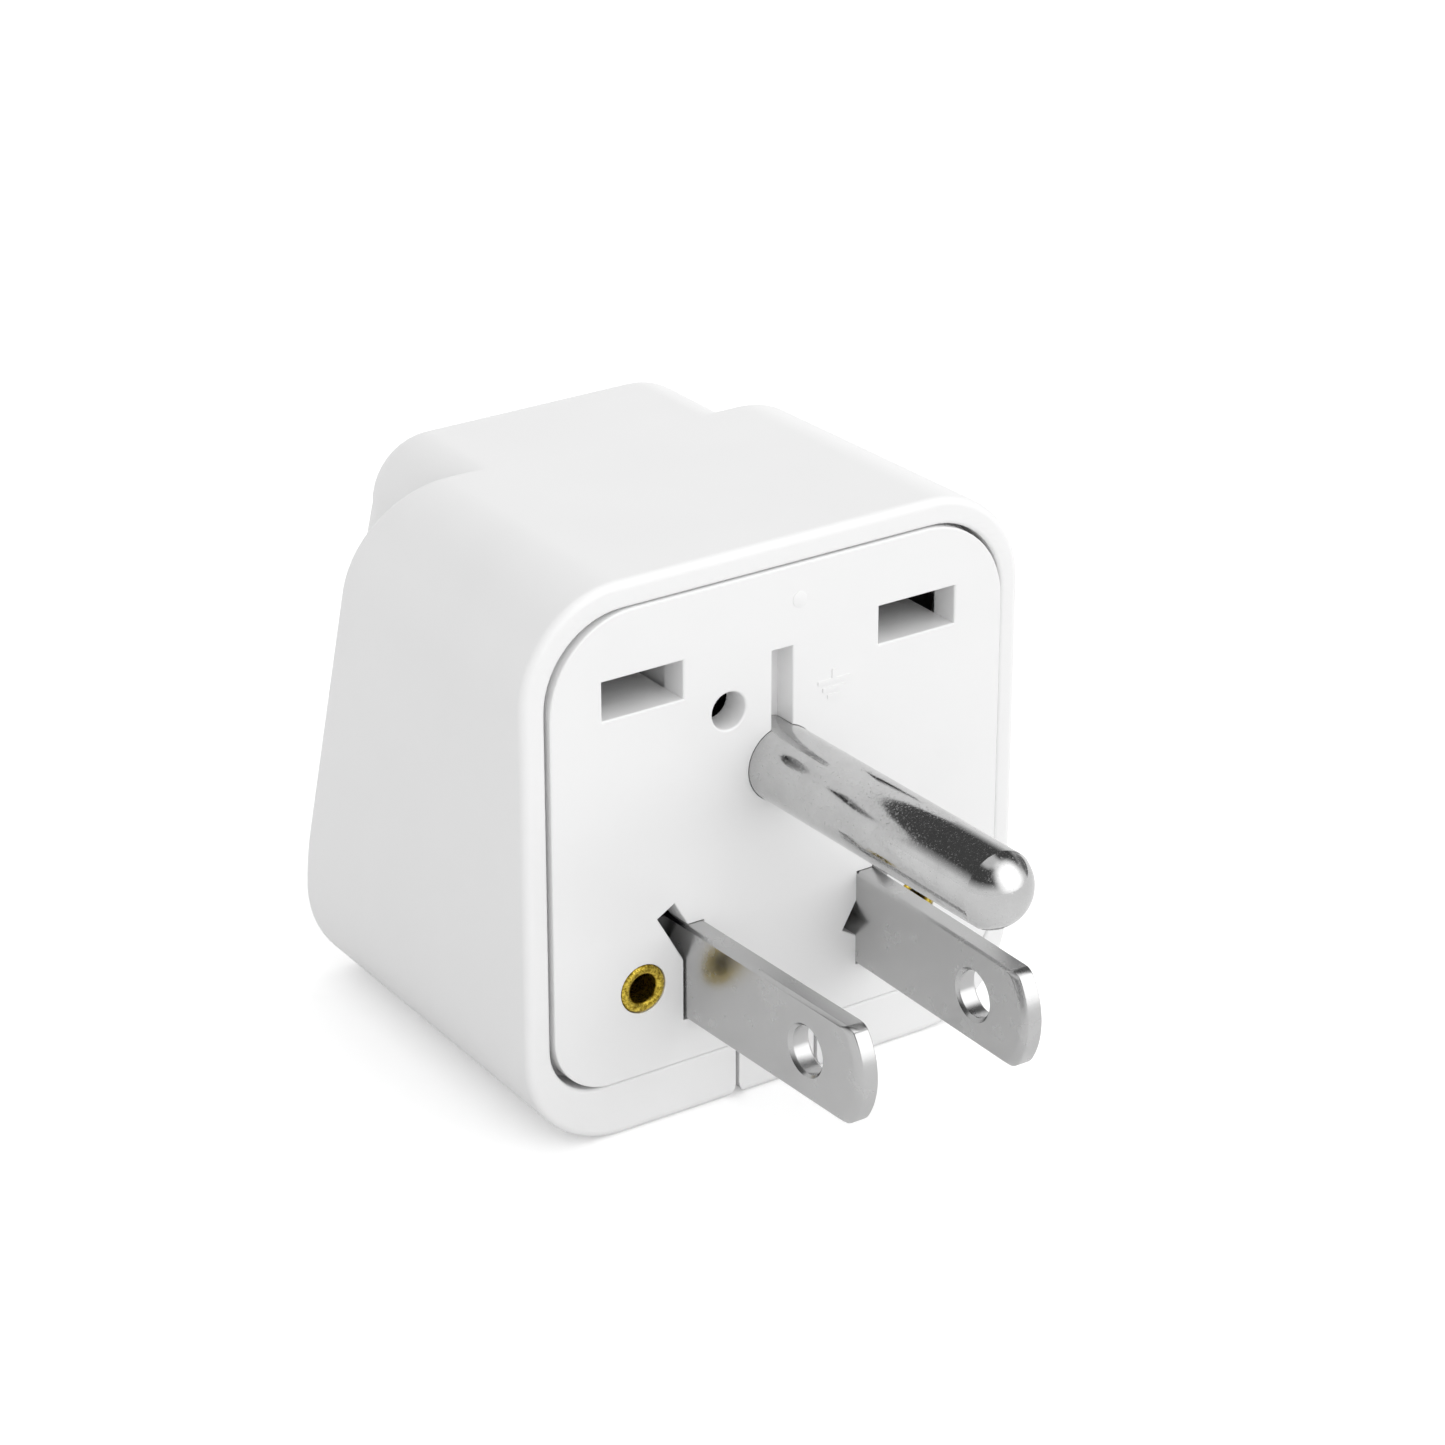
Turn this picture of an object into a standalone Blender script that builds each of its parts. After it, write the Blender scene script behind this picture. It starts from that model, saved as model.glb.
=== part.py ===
"""Universal travel adapter: a type B plug on the front and a universal socket on the rear.

Frame: +Z up, the plug's pins point to -Y, the adapter stands on its flat bottom, and the origin is
under the middle of the whole object. Every piece is drawn in the plug's own coordinates, in
millimetres: x across, y = 0 on the plug face and growing towards the socket, z = 0 at the bottom.
The empty "adapter_frame" carries them to the origin above. The plug side hangs on "plug_frame",
a child of it that stands a little off the housing's middle.
"""
import math

import bmesh
import bpy
from mathutils import Matrix, Vector

MM = 0.001
GAP = 0.3                 # clearance between pieces that touch

# Body
BODY_HALF = 17.8          # half width at the rim
BODY_HEIGHT = 35.8
BODY_DEPTH = 29.0         # plug face to socket face
RIM_Y = 0.1               # the rim lies this far behind the plug plate
CORNER_TOP = 6.7
CORNER_BOTTOM = 6.5
SIDE_DRAFT = 0.04         # each side leans in this much per millimetre of depth
TOP_DEPTH = 20.15         # where the top of the main block ends and its rear starts to slope
REAR_SLOPE = 0.31         # depth gained per millimetre down the rear
LEDGE = 0.3               # the socket face stands this far behind the main block's rear
EDGE_ROUND = 0.8
WALL = 2.2
FACE_WALL = 2.8           # thickness of the socket face
BLOCK_TOP_HALF = 11.6     # socket block, half width at the top
BLOCK_FLARE = 0.237       # it widens this much per millimetre down
BLOCK_CORNER = 4.0
BLOCK_ROUND = 2.6         # rounding round the socket face
BLOCK_WIDEST = 16.3
BLOCK_BOTTOM = 0.35

# Plug side. Its pieces hang on a frame of their own, which sits off the housing's middle
PLUG_SHIFT = 0.2          # towards +x
RECESS_GAP = 0.45         # between the plate's edge and the housing, when both are centred
PLATE_HALF = 16.02
PLATE_BOTTOM = 3.7
PLATE_TOP = 34.05
PLATE_THICK = 2.0
PLATE_CORNER_TOP = 5.7
PLATE_CORNER_BOTTOM = 3.9
BLADE_Z = 9.65            # centre line of the blades above the bottom
BLADE_X = 6.35            # half of the 12.7 mm blade spacing
BLADE_THICK = 1.45
BLADE_WIDE = 6.3
BLADE_LENGTH = 17.1
BLADE_SHOULDER = 15.9     # where the rounded tip begins
HOLE_FROM_FACE = 11.9
HOLE_R = 1.6
PIN_R = 2.4
PIN_LENGTH = 22.6
PIN_Z = BLADE_Z + 11.95
RIVET_X = 9.95
RIVET_Z = BLADE_Z - 0.2
RIVET_WAY_R = 1.45        # holes that the rivets' tubes pass through
RIVET_SINK_R = 1.8
RIVET_SINK_DEPTH = 0.5
WINDOW_X = 9.8
WINDOW_Z = BLADE_Z + 19.05
WINDOW = (2.8, 1.22)      # half width and half height, as for the other slots
DIAGONAL_X = 6.75
DIAGONAL_Z = BLADE_Z + 1.75
DIAGONAL = (0.7, 3.1)
LEAN = 30                 # of the diagonal slots and of the Australian pins
ROUND_HOLE_X = -3.8
ROUND_HOLE_Z = BLADE_Z + 16.25
ROUND_HOLE_R = 1.2
EARTH_SLOT_Z = PIN_Z + 3.7
EARTH_SLOT = (0.75, 3.65)
EARTH_SLOT_DEPTH = 1.6
RIB_BACK = 5.1            # the plate's ribs reach this far behind its face
RIB_THICK = 0.8
RIB_X = -6.6              # upright rib between the left window and the earth strap
SLIT_X = 2.9              # the two slits of the snap tab
SLIT_HALF = 0.2
SLIT_DEPTH = 12
FOOT_Y = PLATE_THICK + GAP
FOOT_THICK = 1.2
STRAP_Y = FOOT_Y + FOOT_THICK + GAP
STRAP_THICK = 0.6
CLIP_THICK = 0.35
CARRIER_Y = STRAP_Y + STRAP_THICK + GAP + 0.7

# Socket side
LIVE_Z = 6.85             # height of the two live openings
EURO_X = 9.5
EURO_R = 2.6
UK_X = 11.1
UK_LIVE = (3.25, 2.15)
UK_EARTH = (2.15, 4.05)
US_LIVE = (1.0, 3.4)
US_EARTH_R = 2.9
AU_X = 6.86
AU_LIVE = (1.0, 3.3)
AU_EARTH = (1.0, 3.6)
AU_RISE = 10.3            # Australian earth above its live pins
UK_RISE = 22.2            # British earth above its live pins
US_RISE = 11.9            # American earth above its live pins
EARTH_TOP_Z = LIVE_Z + UK_RISE
EARTH_LOW_Z = LIVE_Z + US_RISE
EARTH_JAW_LOW_Z = EARTH_LOW_Z - 0.8
PIN_WAY = (7.7, 14.45)    # space behind each live opening, from side to side
PIN_WAY_HALF = 2.35
PIN_WAY_START = 17
JAW_FRONT = 8.0
JAW_BACK = 18.6
NECK_BACK = 8.2

# Shutter
SHUTTER_TRAVEL = 7.2
SHUTTER_FRONT = 19.7
SHUTTER_BACK = 23.1
SHUTTER_LOW = 3.75
SHUTTER_TOP = 10.35
SPRING_X = 8.6
SPRING_Y = 21.5
SPRING_R = 1.35
SPRING_WIRE = 0.17
SPRING_TURNS = 7
SPRING_SOLID = 6.45       # room left for the springs when the shutter is fully up
SHELF_Z = SHUTTER_TOP + SHUTTER_TRAVEL + SPRING_SOLID

PLUG_FACE_Y = -(BODY_DEPTH - PIN_LENGTH) / 2

WHITE_ABS = ("white_abs", (0.86, 0.86, 0.85), 0.32, 0.0)
SHUTTER_PLASTIC = ("shutter_plastic", (0.80, 0.80, 0.79), 0.45, 0.0)
CARRIER_PLASTIC = ("carrier_plastic", (0.05, 0.05, 0.05), 0.60, 0.0)
NICKEL = ("nickel_plate", (0.66, 0.65, 0.63), 0.28, 1.0)
BRASS = ("brass", (0.78, 0.57, 0.22), 0.30, 1.0)
SPRING_STEEL = ("spring_steel", (0.50, 0.50, 0.50), 0.35, 1.0)


def clear_scene():
    for obj in list(bpy.data.objects):
        bpy.data.objects.remove(obj, do_unlink=True)


def new_collection(name):
    collection = bpy.data.collections.new(name)
    bpy.context.scene.collection.children.link(collection)
    return collection


clear_scene()
PARTS = new_collection("universal_travel_adapter")
CUTTERS = new_collection("cutters")
FRAME = bpy.data.objects.new("adapter_frame", None)
FRAME.location = (0, PLUG_FACE_Y * MM, 0)
PARTS.objects.link(FRAME)
PLUG_FRAME = bpy.data.objects.new("plug_frame", None)
PLUG_FRAME.parent = FRAME
PLUG_FRAME.location = (PLUG_SHIFT * MM, 0, 0)
PARTS.objects.link(PLUG_FRAME)


def material(spec):
    name, colour, roughness, metallic = spec
    found = bpy.data.materials.get(name)
    if found:
        return found
    made = bpy.data.materials.new(name)
    made.use_nodes = True
    shader = made.node_tree.nodes["Principled BSDF"]
    shader.inputs["Base Color"].default_value = (*colour, 1)
    shader.inputs["Roughness"].default_value = roughness
    shader.inputs["Metallic"].default_value = metallic
    return made


def add_mesh(name, mesh, finish=None, parent=FRAME):
    """A part where a finish is given, otherwise a cutter."""
    obj = bpy.data.objects.new(name, mesh)
    obj.parent = parent
    if finish:
        PARTS.objects.link(obj)
        mesh.materials.append(material(finish))
    else:
        CUTTERS.objects.link(obj)
        obj.hide_render = True
        obj.display_type = "WIRE"
    return obj


def from_bmesh(name, bm, finish=None, parent=FRAME, smooth=None):
    mesh = bpy.data.meshes.new(name)
    bm.to_mesh(mesh)
    bm.free()
    if smooth:
        mesh.shade_smooth()
        mesh.set_sharp_from_angle(angle=math.radians(smooth))
    return add_mesh(name, mesh, finish, parent)


def box(name, low, high, finish=None, parent=FRAME):
    low, high = Vector(low) * MM, Vector(high) * MM
    bm = bmesh.new()
    bmesh.ops.create_cube(bm, size=1)
    bmesh.ops.scale(bm, vec=high - low, verts=bm.verts)
    bmesh.ops.translate(bm, vec=(low + high) / 2, verts=bm.verts)
    return from_bmesh(name, bm, finish, parent)


def rod(name, x, z, radius, y_from, y_to, finish=None, segments=24):
    """A round bar along y."""
    bm = bmesh.new()
    length = (y_to - y_from) * MM
    bmesh.ops.create_cone(bm, cap_ends=True, segments=segments, radius1=radius * MM,
                          radius2=radius * MM, depth=length)
    bmesh.ops.rotate(bm, matrix=Matrix.Rotation(math.radians(90), 3, "X"), verts=bm.verts)
    bmesh.ops.translate(bm, vec=(x * MM, (y_from + y_to) / 2 * MM, z * MM), verts=bm.verts)
    return from_bmesh(name, bm, finish, smooth=30)


def arc(cx, cy, radius, start, end, steps):
    turns = [math.radians(start + (end - start) * i / steps) for i in range(steps + 1)]
    return [(cx + radius * math.cos(t), cy + radius * math.sin(t)) for t in turns]


def prism(name, outline, start, end, axis="y", finish=None, parent=FRAME, smooth=30):
    """A flat outline pushed along an axis. Outline points are (x, z) for y, (y, z) for x and
    (x, y) for z."""
    curve = bpy.data.curves.new(name, "CURVE")
    curve.dimensions = "2D"
    curve.fill_mode = "BOTH"
    curve.extrude = (end - start) / 2 * MM
    spline = curve.splines.new("POLY")
    spline.points.add(len(outline) - 1)
    for point, (u, v) in zip(spline.points, outline):
        point.co = (u * MM, v * MM, 0, 1)
    spline.use_cyclic_u = True
    drawn = bpy.data.objects.new(name + "_outline", curve)
    bpy.context.scene.collection.objects.link(drawn)
    bpy.context.view_layer.update()
    evaluated = drawn.evaluated_get(bpy.context.evaluated_depsgraph_get())
    mesh = bpy.data.meshes.new_from_object(evaluated)
    bpy.data.objects.remove(drawn)
    bm = bmesh.new()
    bm.from_mesh(mesh)
    bpy.data.meshes.remove(mesh)
    bmesh.ops.remove_doubles(bm, verts=bm.verts, dist=1e-6)
    middle = (start + end) / 2 * MM
    turn = {
        "y": Matrix(((1, 0, 0, 0), (0, 0, -1, middle), (0, 1, 0, 0), (0, 0, 0, 1))),
        "x": Matrix(((0, 0, 1, middle), (1, 0, 0, 0), (0, 1, 0, 0), (0, 0, 0, 1))),
        "z": Matrix.Translation((0, 0, middle)),
    }[axis]
    bmesh.ops.transform(bm, matrix=turn, verts=bm.verts)
    bmesh.ops.recalc_face_normals(bm, faces=bm.faces)
    return from_bmesh(name, bm, finish, parent, smooth)


def turned(name, profile, x, z, finish, segments=32):
    """A turned piece with its axis along y. The profile is (radius, y), and runs forward along
    its outer side."""
    mesh = bpy.data.meshes.new(name)
    points = [(radius * MM, 0, -y * MM) for radius, y in reversed(profile)]
    edges = [(i, i + 1) for i in range(len(points) - 1)]
    mesh.from_pydata(points, edges, [])
    obj = add_mesh(name, mesh, finish)
    obj.rotation_euler = (math.radians(90), 0, 0)
    obj.location = (x * MM, 0, z * MM)
    screw = obj.modifiers.new("turn", "SCREW")
    screw.steps = segments
    screw.render_steps = segments
    screw.use_merge_vertices = True
    screw.merge_threshold = 1e-6
    screw.use_smooth_shade = False
    return obj


def strip(name, path, low, high, thickness, plane="yz", finish=None):
    """A folded metal strip: an open path in one plane, pulled out flat along the third axis."""
    def place(u, v, w):
        return Vector((w, u, v)) * MM if plane == "yz" else Vector((u, v, w)) * MM
    bm = bmesh.new()
    rows = [[bm.verts.new(place(u, v, w)) for u, v in path] for w in (low, high)]
    for i in range(len(path) - 1):
        bm.faces.new((rows[0][i], rows[0][i + 1], rows[1][i + 1], rows[1][i]))
    obj = from_bmesh(name, bm, finish)
    solid = obj.modifiers.new("sheet", "SOLIDIFY")
    solid.thickness = thickness * MM
    solid.offset = 0
    solid.use_even_offset = True
    return obj


def combine(obj, other, operation="DIFFERENCE"):
    modifier = obj.modifiers.new(other.name, "BOOLEAN")
    modifier.operation = operation
    modifier.solver = "EXACT"
    modifier.object = other
    return obj


def round_edges(obj, width, segments=2, angle=35):
    modifier = obj.modifiers.new("round", "BEVEL")
    modifier.width = width * MM
    modifier.segments = segments
    modifier.limit_method = "ANGLE"
    modifier.angle_limit = math.radians(angle)
    modifier.use_clamp_overlap = True
    return obj


def rounded(half, bottom, top, corner_top, corner_bottom, steps=8):
    """Outline of an upright rounded rectangle, centred on x = 0."""
    x_top, x_bottom = half - corner_top, half - corner_bottom
    return (arc(x_top, top - corner_top, corner_top, 0, 90, steps)
            + arc(-x_top, top - corner_top, corner_top, 90, 180, steps)
            + arc(-x_bottom, bottom + corner_bottom, corner_bottom, 180, 270, steps)
            + arc(x_bottom, bottom + corner_bottom, corner_bottom, 270, 360, steps))


def lean_sides(obj, half, y_start):
    """Mould draft: the sides come in by SIDE_DRAFT for each millimetre of depth."""
    for vertex in obj.data.vertices:
        depth = vertex.co.y / MM - y_start
        vertex.co.x *= (half - SIDE_DRAFT * depth) / half
    return obj


def side_profile(inset, front, back):
    """The main block seen from the side, with its rear wall moved in by inset."""
    slant = inset * math.hypot(1, REAR_SLOPE)
    top, bottom = BODY_HEIGHT + 1, -1
    slope_top = TOP_DEPTH - slant - REAR_SLOPE * (top - BODY_HEIGHT)
    slope_end = BODY_HEIGHT - (back - TOP_DEPTH + slant) / REAR_SLOPE
    return [(front, bottom), (back, bottom), (back, slope_end), (slope_top, top), (front, top)]


def flared(inset, steps=6):
    """The socket block's outline: narrow round the earth opening, wide round the live ones."""
    top = BODY_HEIGHT - inset
    bottom = BLOCK_BOTTOM + inset
    half = BLOCK_TOP_HALF - inset
    widest = BLOCK_WIDEST - inset
    corner = BLOCK_CORNER - inset * 0.5
    low_corner = CORNER_BOTTOM - inset
    z_corner = top - corner
    z_wide = z_corner - (widest - half) / BLOCK_FLARE
    right = [(widest, bottom + low_corner), (widest, z_wide)]
    right += arc(half - corner, z_corner, corner, 0, 90, steps)
    left = [(-x, z) for x, z in reversed(right)]
    left += arc(low_corner - widest, bottom + low_corner, low_corner, 180, 270, steps)[1:]
    return right + left + arc(widest - low_corner, bottom + low_corner, low_corner, 270, 360,
                              steps)[:-1]


def slot_outline(cx, cz, half_width, half_height, lean=0):
    """A flat-ended slot, turned by lean degrees clockwise from upright."""
    turn = math.radians(-lean)
    corners = [(half_width, half_height), (-half_width, half_height),
               (-half_width, -half_height), (half_width, -half_height)]
    return [(cx + u * math.cos(turn) - v * math.sin(turn),
             cz + u * math.sin(turn) + v * math.cos(turn)) for u, v in corners]


def socket_openings():
    """Cutters for the openings of the socket face, right through its wall."""
    y_from, y_to = BODY_DEPTH - FACE_WALL - 1.5, BODY_DEPTH + 1
    cutters = []
    for side, word in ((-1, "left"), (1, "right")):
        shapes = {
            "uk": slot_outline(side * UK_X, LIVE_Z, *UK_LIVE),
            "us": slot_outline(side * BLADE_X, LIVE_Z, *US_LIVE),
            "au": slot_outline(side * AU_X, LIVE_Z, *AU_LIVE, lean=side * LEAN),
        }
        for kind, outline in shapes.items():
            cutters.append(prism(f"live_{kind}_{word}", outline, y_from, y_to))
        cutters.append(rod(f"live_euro_{word}", side * EURO_X, LIVE_Z, EURO_R, y_from, y_to))
    cutters.append(prism("earth_uk", slot_outline(0, EARTH_TOP_Z, *UK_EARTH), y_from, y_to))
    cutters.append(rod("earth_us", 0, EARTH_LOW_Z, US_EARTH_R, y_from, y_to))
    cutters.append(prism("earth_au", slot_outline(0, LIVE_Z + AU_RISE, *AU_EARTH), y_from, y_to))
    return cutters


def make_housing():
    outline = rounded(BODY_HALF, 0, BODY_HEIGHT, CORNER_TOP, CORNER_BOTTOM)
    housing = prism("housing", outline, RIM_Y, BODY_DEPTH + 4, finish=WHITE_ABS)
    lean_sides(housing, BODY_HALF, RIM_Y)
    profile = side_profile(0, RIM_Y - 1, BODY_DEPTH - LEDGE)
    combine(housing, prism("rear_slope", profile, -25, 25, axis="x"), "INTERSECT")
    round_edges(housing, EDGE_ROUND)

    block = prism("socket_block", flared(0), TOP_DEPTH - 6, BODY_DEPTH)
    round_edges(block, BLOCK_ROUND, segments=4, angle=60)
    combine(housing, block, "UNION")

    recess = rounded(PLATE_HALF + RECESS_GAP, PLATE_BOTTOM - 0.25, PLATE_TOP + 0.25,
                     PLATE_CORNER_TOP, PLATE_CORNER_BOTTOM)
    combine(housing, prism("plate_recess", recess, RIM_Y - 2, PLATE_THICK + GAP))
    hollow = rounded(PLATE_HALF - 0.4, PLATE_BOTTOM - 0.2, PLATE_TOP - 0.9, 5.0, 3.9)
    cavity = prism("main_cavity", hollow, PLATE_THICK, BODY_DEPTH - FACE_WALL)
    lean_sides(cavity, PLATE_HALF - 0.4, 0)
    profile = side_profile(WALL, 0, BODY_DEPTH - FACE_WALL + 1)
    combine(cavity, prism("inner_slope", profile, -25, 25, axis="x"), "INTERSECT")
    combine(housing, cavity)
    inner = [(x, max(z, PLATE_BOTTOM)) for x, z in flared(WALL)]
    combine(housing, prism("block_cavity", inner, 8, BODY_DEPTH - FACE_WALL))

    for cutter in socket_openings():
        combine(housing, cutter)
    for side, word in ((-1, "left"), (1, "right")):
        x = side * SLIT_X
        combine(housing, box(f"tab_slit_{word}", (x - SLIT_HALF, RIM_Y - 1, -1),
                             (x + SLIT_HALF, SLIT_DEPTH, PLATE_BOTTOM + 1)))
        x_from, x_to = sorted((side * PIN_WAY[0], side * PIN_WAY[1]))
        combine(housing, box(f"pin_way_{word}", (x_from, PIN_WAY_START, LIVE_Z - PIN_WAY_HALF),
                             (x_to, BODY_DEPTH - FACE_WALL + 1, LIVE_Z + PIN_WAY_HALF)))


def make_front_plate():
    outline = rounded(PLATE_HALF, PLATE_BOTTOM, PLATE_TOP, PLATE_CORNER_TOP, PLATE_CORNER_BOTTOM)
    plate = prism("front_plate", outline, 0, PLATE_THICK, finish=WHITE_ABS)
    y_from, y_to = -1, PLATE_THICK + 1
    sill = WINDOW_Z - WINDOW[1]
    for side, word in ((-1, "left"), (1, "right")):
        window = slot_outline(side * WINDOW_X, WINDOW_Z, *WINDOW)
        combine(plate, prism(f"window_{word}", window, y_from, y_to))
        x_from, x_to = side * WINDOW_X - WINDOW[0], side * WINDOW_X + WINDOW[0]
        combine(plate, box(f"sill_{word}", (x_from, PLATE_THICK / 2, sill - RIB_THICK),
                           (x_to, RIB_BACK, sill)), "UNION")
        blade = slot_outline(side * BLADE_X, BLADE_Z, BLADE_THICK / 2 + GAP,
                             BLADE_WIDE / 2 + GAP)
        combine(plate, prism(f"blade_slot_{word}", blade, y_from, y_to))
        diagonal = slot_outline(side * DIAGONAL_X, DIAGONAL_Z, *DIAGONAL, lean=side * LEAN)
        combine(plate, prism(f"diagonal_slot_{word}", diagonal, y_from, y_to))
        x = side * RIVET_X
        combine(plate, rod(f"rivet_hole_{word}", x, RIVET_Z, RIVET_WAY_R, y_from, y_to))
        combine(plate, rod(f"rivet_sink_{word}", x, RIVET_Z, RIVET_SINK_R, y_from,
                           RIVET_SINK_DEPTH))
    combine(plate, box("rib", (RIB_X, PLATE_THICK / 2, sill - RIB_THICK),
                       (RIB_X + RIB_THICK, RIB_BACK, PLATE_TOP - 2)), "UNION")
    combine(plate, rod("pin_hole", 0, PIN_Z, PIN_R + GAP, y_from, y_to))
    combine(plate, rod("round_hole", ROUND_HOLE_X, ROUND_HOLE_Z, ROUND_HOLE_R, y_from, y_to))
    slot = slot_outline(0, EARTH_SLOT_Z, *EARTH_SLOT)
    combine(plate, prism("earth_slot", slot, y_from, EARTH_SLOT_DEPTH))


def make_blade(side, word):
    """A flat blade whose foot turns outwards behind the plug plate, under the rivet."""
    half = BLADE_WIDE / 2
    sag = BLADE_LENGTH - BLADE_SHOULDER
    radius = (half * half + sag * sag) / (2 * sag)
    sweep = math.degrees(math.asin(half / radius))
    tip = arc(-(BLADE_LENGTH - radius), BLADE_Z, radius, 180 - sweep, 180 + sweep, 8)
    outline = tip + [(FOOT_Y + FOOT_THICK, BLADE_Z - half), (FOOT_Y + FOOT_THICK, BLADE_Z + half)]
    x = side * BLADE_X
    blade = prism(f"blade_{word}", outline, x - BLADE_THICK / 2, x + BLADE_THICK / 2, axis="x",
                  finish=NICKEL)
    round_edges(blade, 0.2, segments=1)
    bm = bmesh.new()
    bmesh.ops.create_cone(bm, cap_ends=True, segments=20, radius1=HOLE_R * MM,
                          radius2=HOLE_R * MM, depth=4 * MM)
    bmesh.ops.rotate(bm, matrix=Matrix.Rotation(math.radians(90), 3, "Y"), verts=bm.verts)
    bmesh.ops.translate(bm, vec=(x * MM, -HOLE_FROM_FACE * MM, BLADE_Z * MM), verts=bm.verts)
    combine(blade, from_bmesh(f"blade_hole_{word}", bm))
    near, far = x - side * 0.6, side * (RIVET_X + 2.6)
    foot = box(f"blade_foot_{word}", (min(near, far), FOOT_Y, BLADE_Z - 2.8),
               (max(near, far), FOOT_Y + FOOT_THICK - 0.05, BLADE_Z + 2.8))
    combine(blade, foot, "UNION")
    combine(blade, rod(f"foot_hole_{word}", side * RIVET_X, RIVET_Z, RIVET_WAY_R, 1, 6))


def make_earth_pin():
    ball = [(PIN_R * math.cos(math.radians(a)), -(PIN_LENGTH - PIN_R) - PIN_R
             * math.sin(math.radians(a))) for a in range(0, 91, 10)]
    ball[-1] = (0, -PIN_LENGTH)
    flange, tail = FOOT_Y + 1.0, STRAP_Y + STRAP_THICK + 1.6
    profile = [(0, tail), (1.4, tail), (1.4, flange), (3.4, flange), (3.4, FOOT_Y),
               (PIN_R, FOOT_Y)] + ball
    turned("earth_pin", profile, 0, PIN_Z, NICKEL)
    washer_y = STRAP_Y + STRAP_THICK + GAP
    washer = [(1.7, washer_y + 0.6), (2.4, washer_y + 0.6), (2.4, washer_y), (1.7, washer_y),
              (1.7, washer_y + 0.6)]
    turned("earth_washer", washer, 0, PIN_Z, SPRING_STEEL, segments=24)


def make_rivet(side, word):
    """A hollow rivet: rolled rim in front, tube through the plate and the foot, flange behind."""
    back = STRAP_Y + STRAP_THICK + GAP
    profile = [(0.8, back + 0.4), (2.1, back + 0.4), (2.1, back), (1.15, back), (1.15, 0.35),
               (1.5, 0.2), (1.5, 0.05), (1.25, -0.1), (0.9, 0.0), (0.8, 0.2), (0.8, back + 0.4)]
    turned(f"rivet_{word}", profile, side * RIVET_X, RIVET_Z, BRASS, segments=24)


def jaw_path(centre, half_gap, pinch, y_back, y_front):
    """A U open to the rear: out at the mouth, pinched where it grips, closed at the front."""
    upper = [(y_back, half_gap + 0.3), (y_back - 2.2, pinch), (y_back - 4.4, half_gap),
             (y_front, half_gap)]
    lower = [(y, -v) for y, v in reversed(upper)]
    return [(y, centre + v) for y, v in upper + lower]


def make_live_contact(side, word):
    """Brass strap behind the blade's foot, with a jaw reaching back to the socket."""
    x_in, x_out = sorted((side * 6.9, side * 13.0))
    strap = box(f"contact_{word}", (x_in, STRAP_Y, BLADE_Z - 5.2),
                (x_out, STRAP_Y + STRAP_THICK, BLADE_Z + 2.6), BRASS)
    combine(strap, rod(f"strap_hole_{word}", side * RIVET_X, RIVET_Z, RIVET_WAY_R, 3, 6))
    neck_in, neck_out = sorted((side * 11.7, side * 12.9))
    neck = box(f"neck_{word}", (neck_in, STRAP_Y + 0.1, LIVE_Z - 2.2),
               (neck_out, NECK_BACK, LIVE_Z + 0.2))
    combine(strap, neck, "UNION")
    path = jaw_path(LIVE_Z, 2.3, 1.7, JAW_BACK, JAW_FRONT)
    combine(strap, strip(f"jaw_{word}", path, x_in, x_out, STRAP_THICK), "UNION")
    clip_in, clip_out = sorted((side * 7.6, side * 11.5))
    strip(f"clip_{word}", clip_path(LIVE_Z, 2.95), clip_in, clip_out, CLIP_THICK,
          finish=SPRING_STEEL)


def clip_path(centre, half_gap):
    """A steel C round the closed end of a jaw, pressing on both of its leaves."""
    half = [(13.6, half_gap), (7.1, half_gap)]
    return [(y, centre + v) for y, v in half] + [(y, centre - v) for y, v in reversed(half)]


def make_earth_contact():
    """One plated strap on the earth pin's tail, with a jaw for each height of earth pin. A jaw's
    sizes are its half height, the half gap between its leaves and the half gap where they grip."""
    low, high = EARTH_LOW_Z - 3.0, EARTH_TOP_Z + 2.0
    strap = box("earth_contact", (-3.0, STRAP_Y, low), (3.0, STRAP_Y + STRAP_THICK, high), NICKEL)
    combine(strap, rod("tail_hole", 0, PIN_Z, 1.7, 3, 6))
    jaws = (("upper", EARTH_TOP_Z, 3.4, 2.3, 1.8), ("lower", EARTH_JAW_LOW_Z, 2.4, 2.6, 2.1))
    for word, z, half_height, half_gap, pinch in jaws:
        neck_z = min(max(z, low + 1.2), high - 1.2)
        neck = box(f"earth_neck_{word}", (-1.5, STRAP_Y + 0.1, neck_z - 0.9),
                   (1.5, NECK_BACK, neck_z + 0.9))
        combine(strap, neck, "UNION")
        path = [(x, y) for y, x in jaw_path(0, half_gap, pinch, JAW_BACK, JAW_FRONT)]
        jaw = strip(f"earth_jaw_{word}", path, z - half_height, z + half_height, STRAP_THICK, "xy")
        combine(strap, jaw, "UNION")
        path = [(x, y) for y, x in clip_path(0, half_gap + 0.65)]
        strip(f"earth_clip_{word}", path, z + 1.4, z + half_height - 0.2, CLIP_THICK, "xy",
              SPRING_STEEL)


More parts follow.
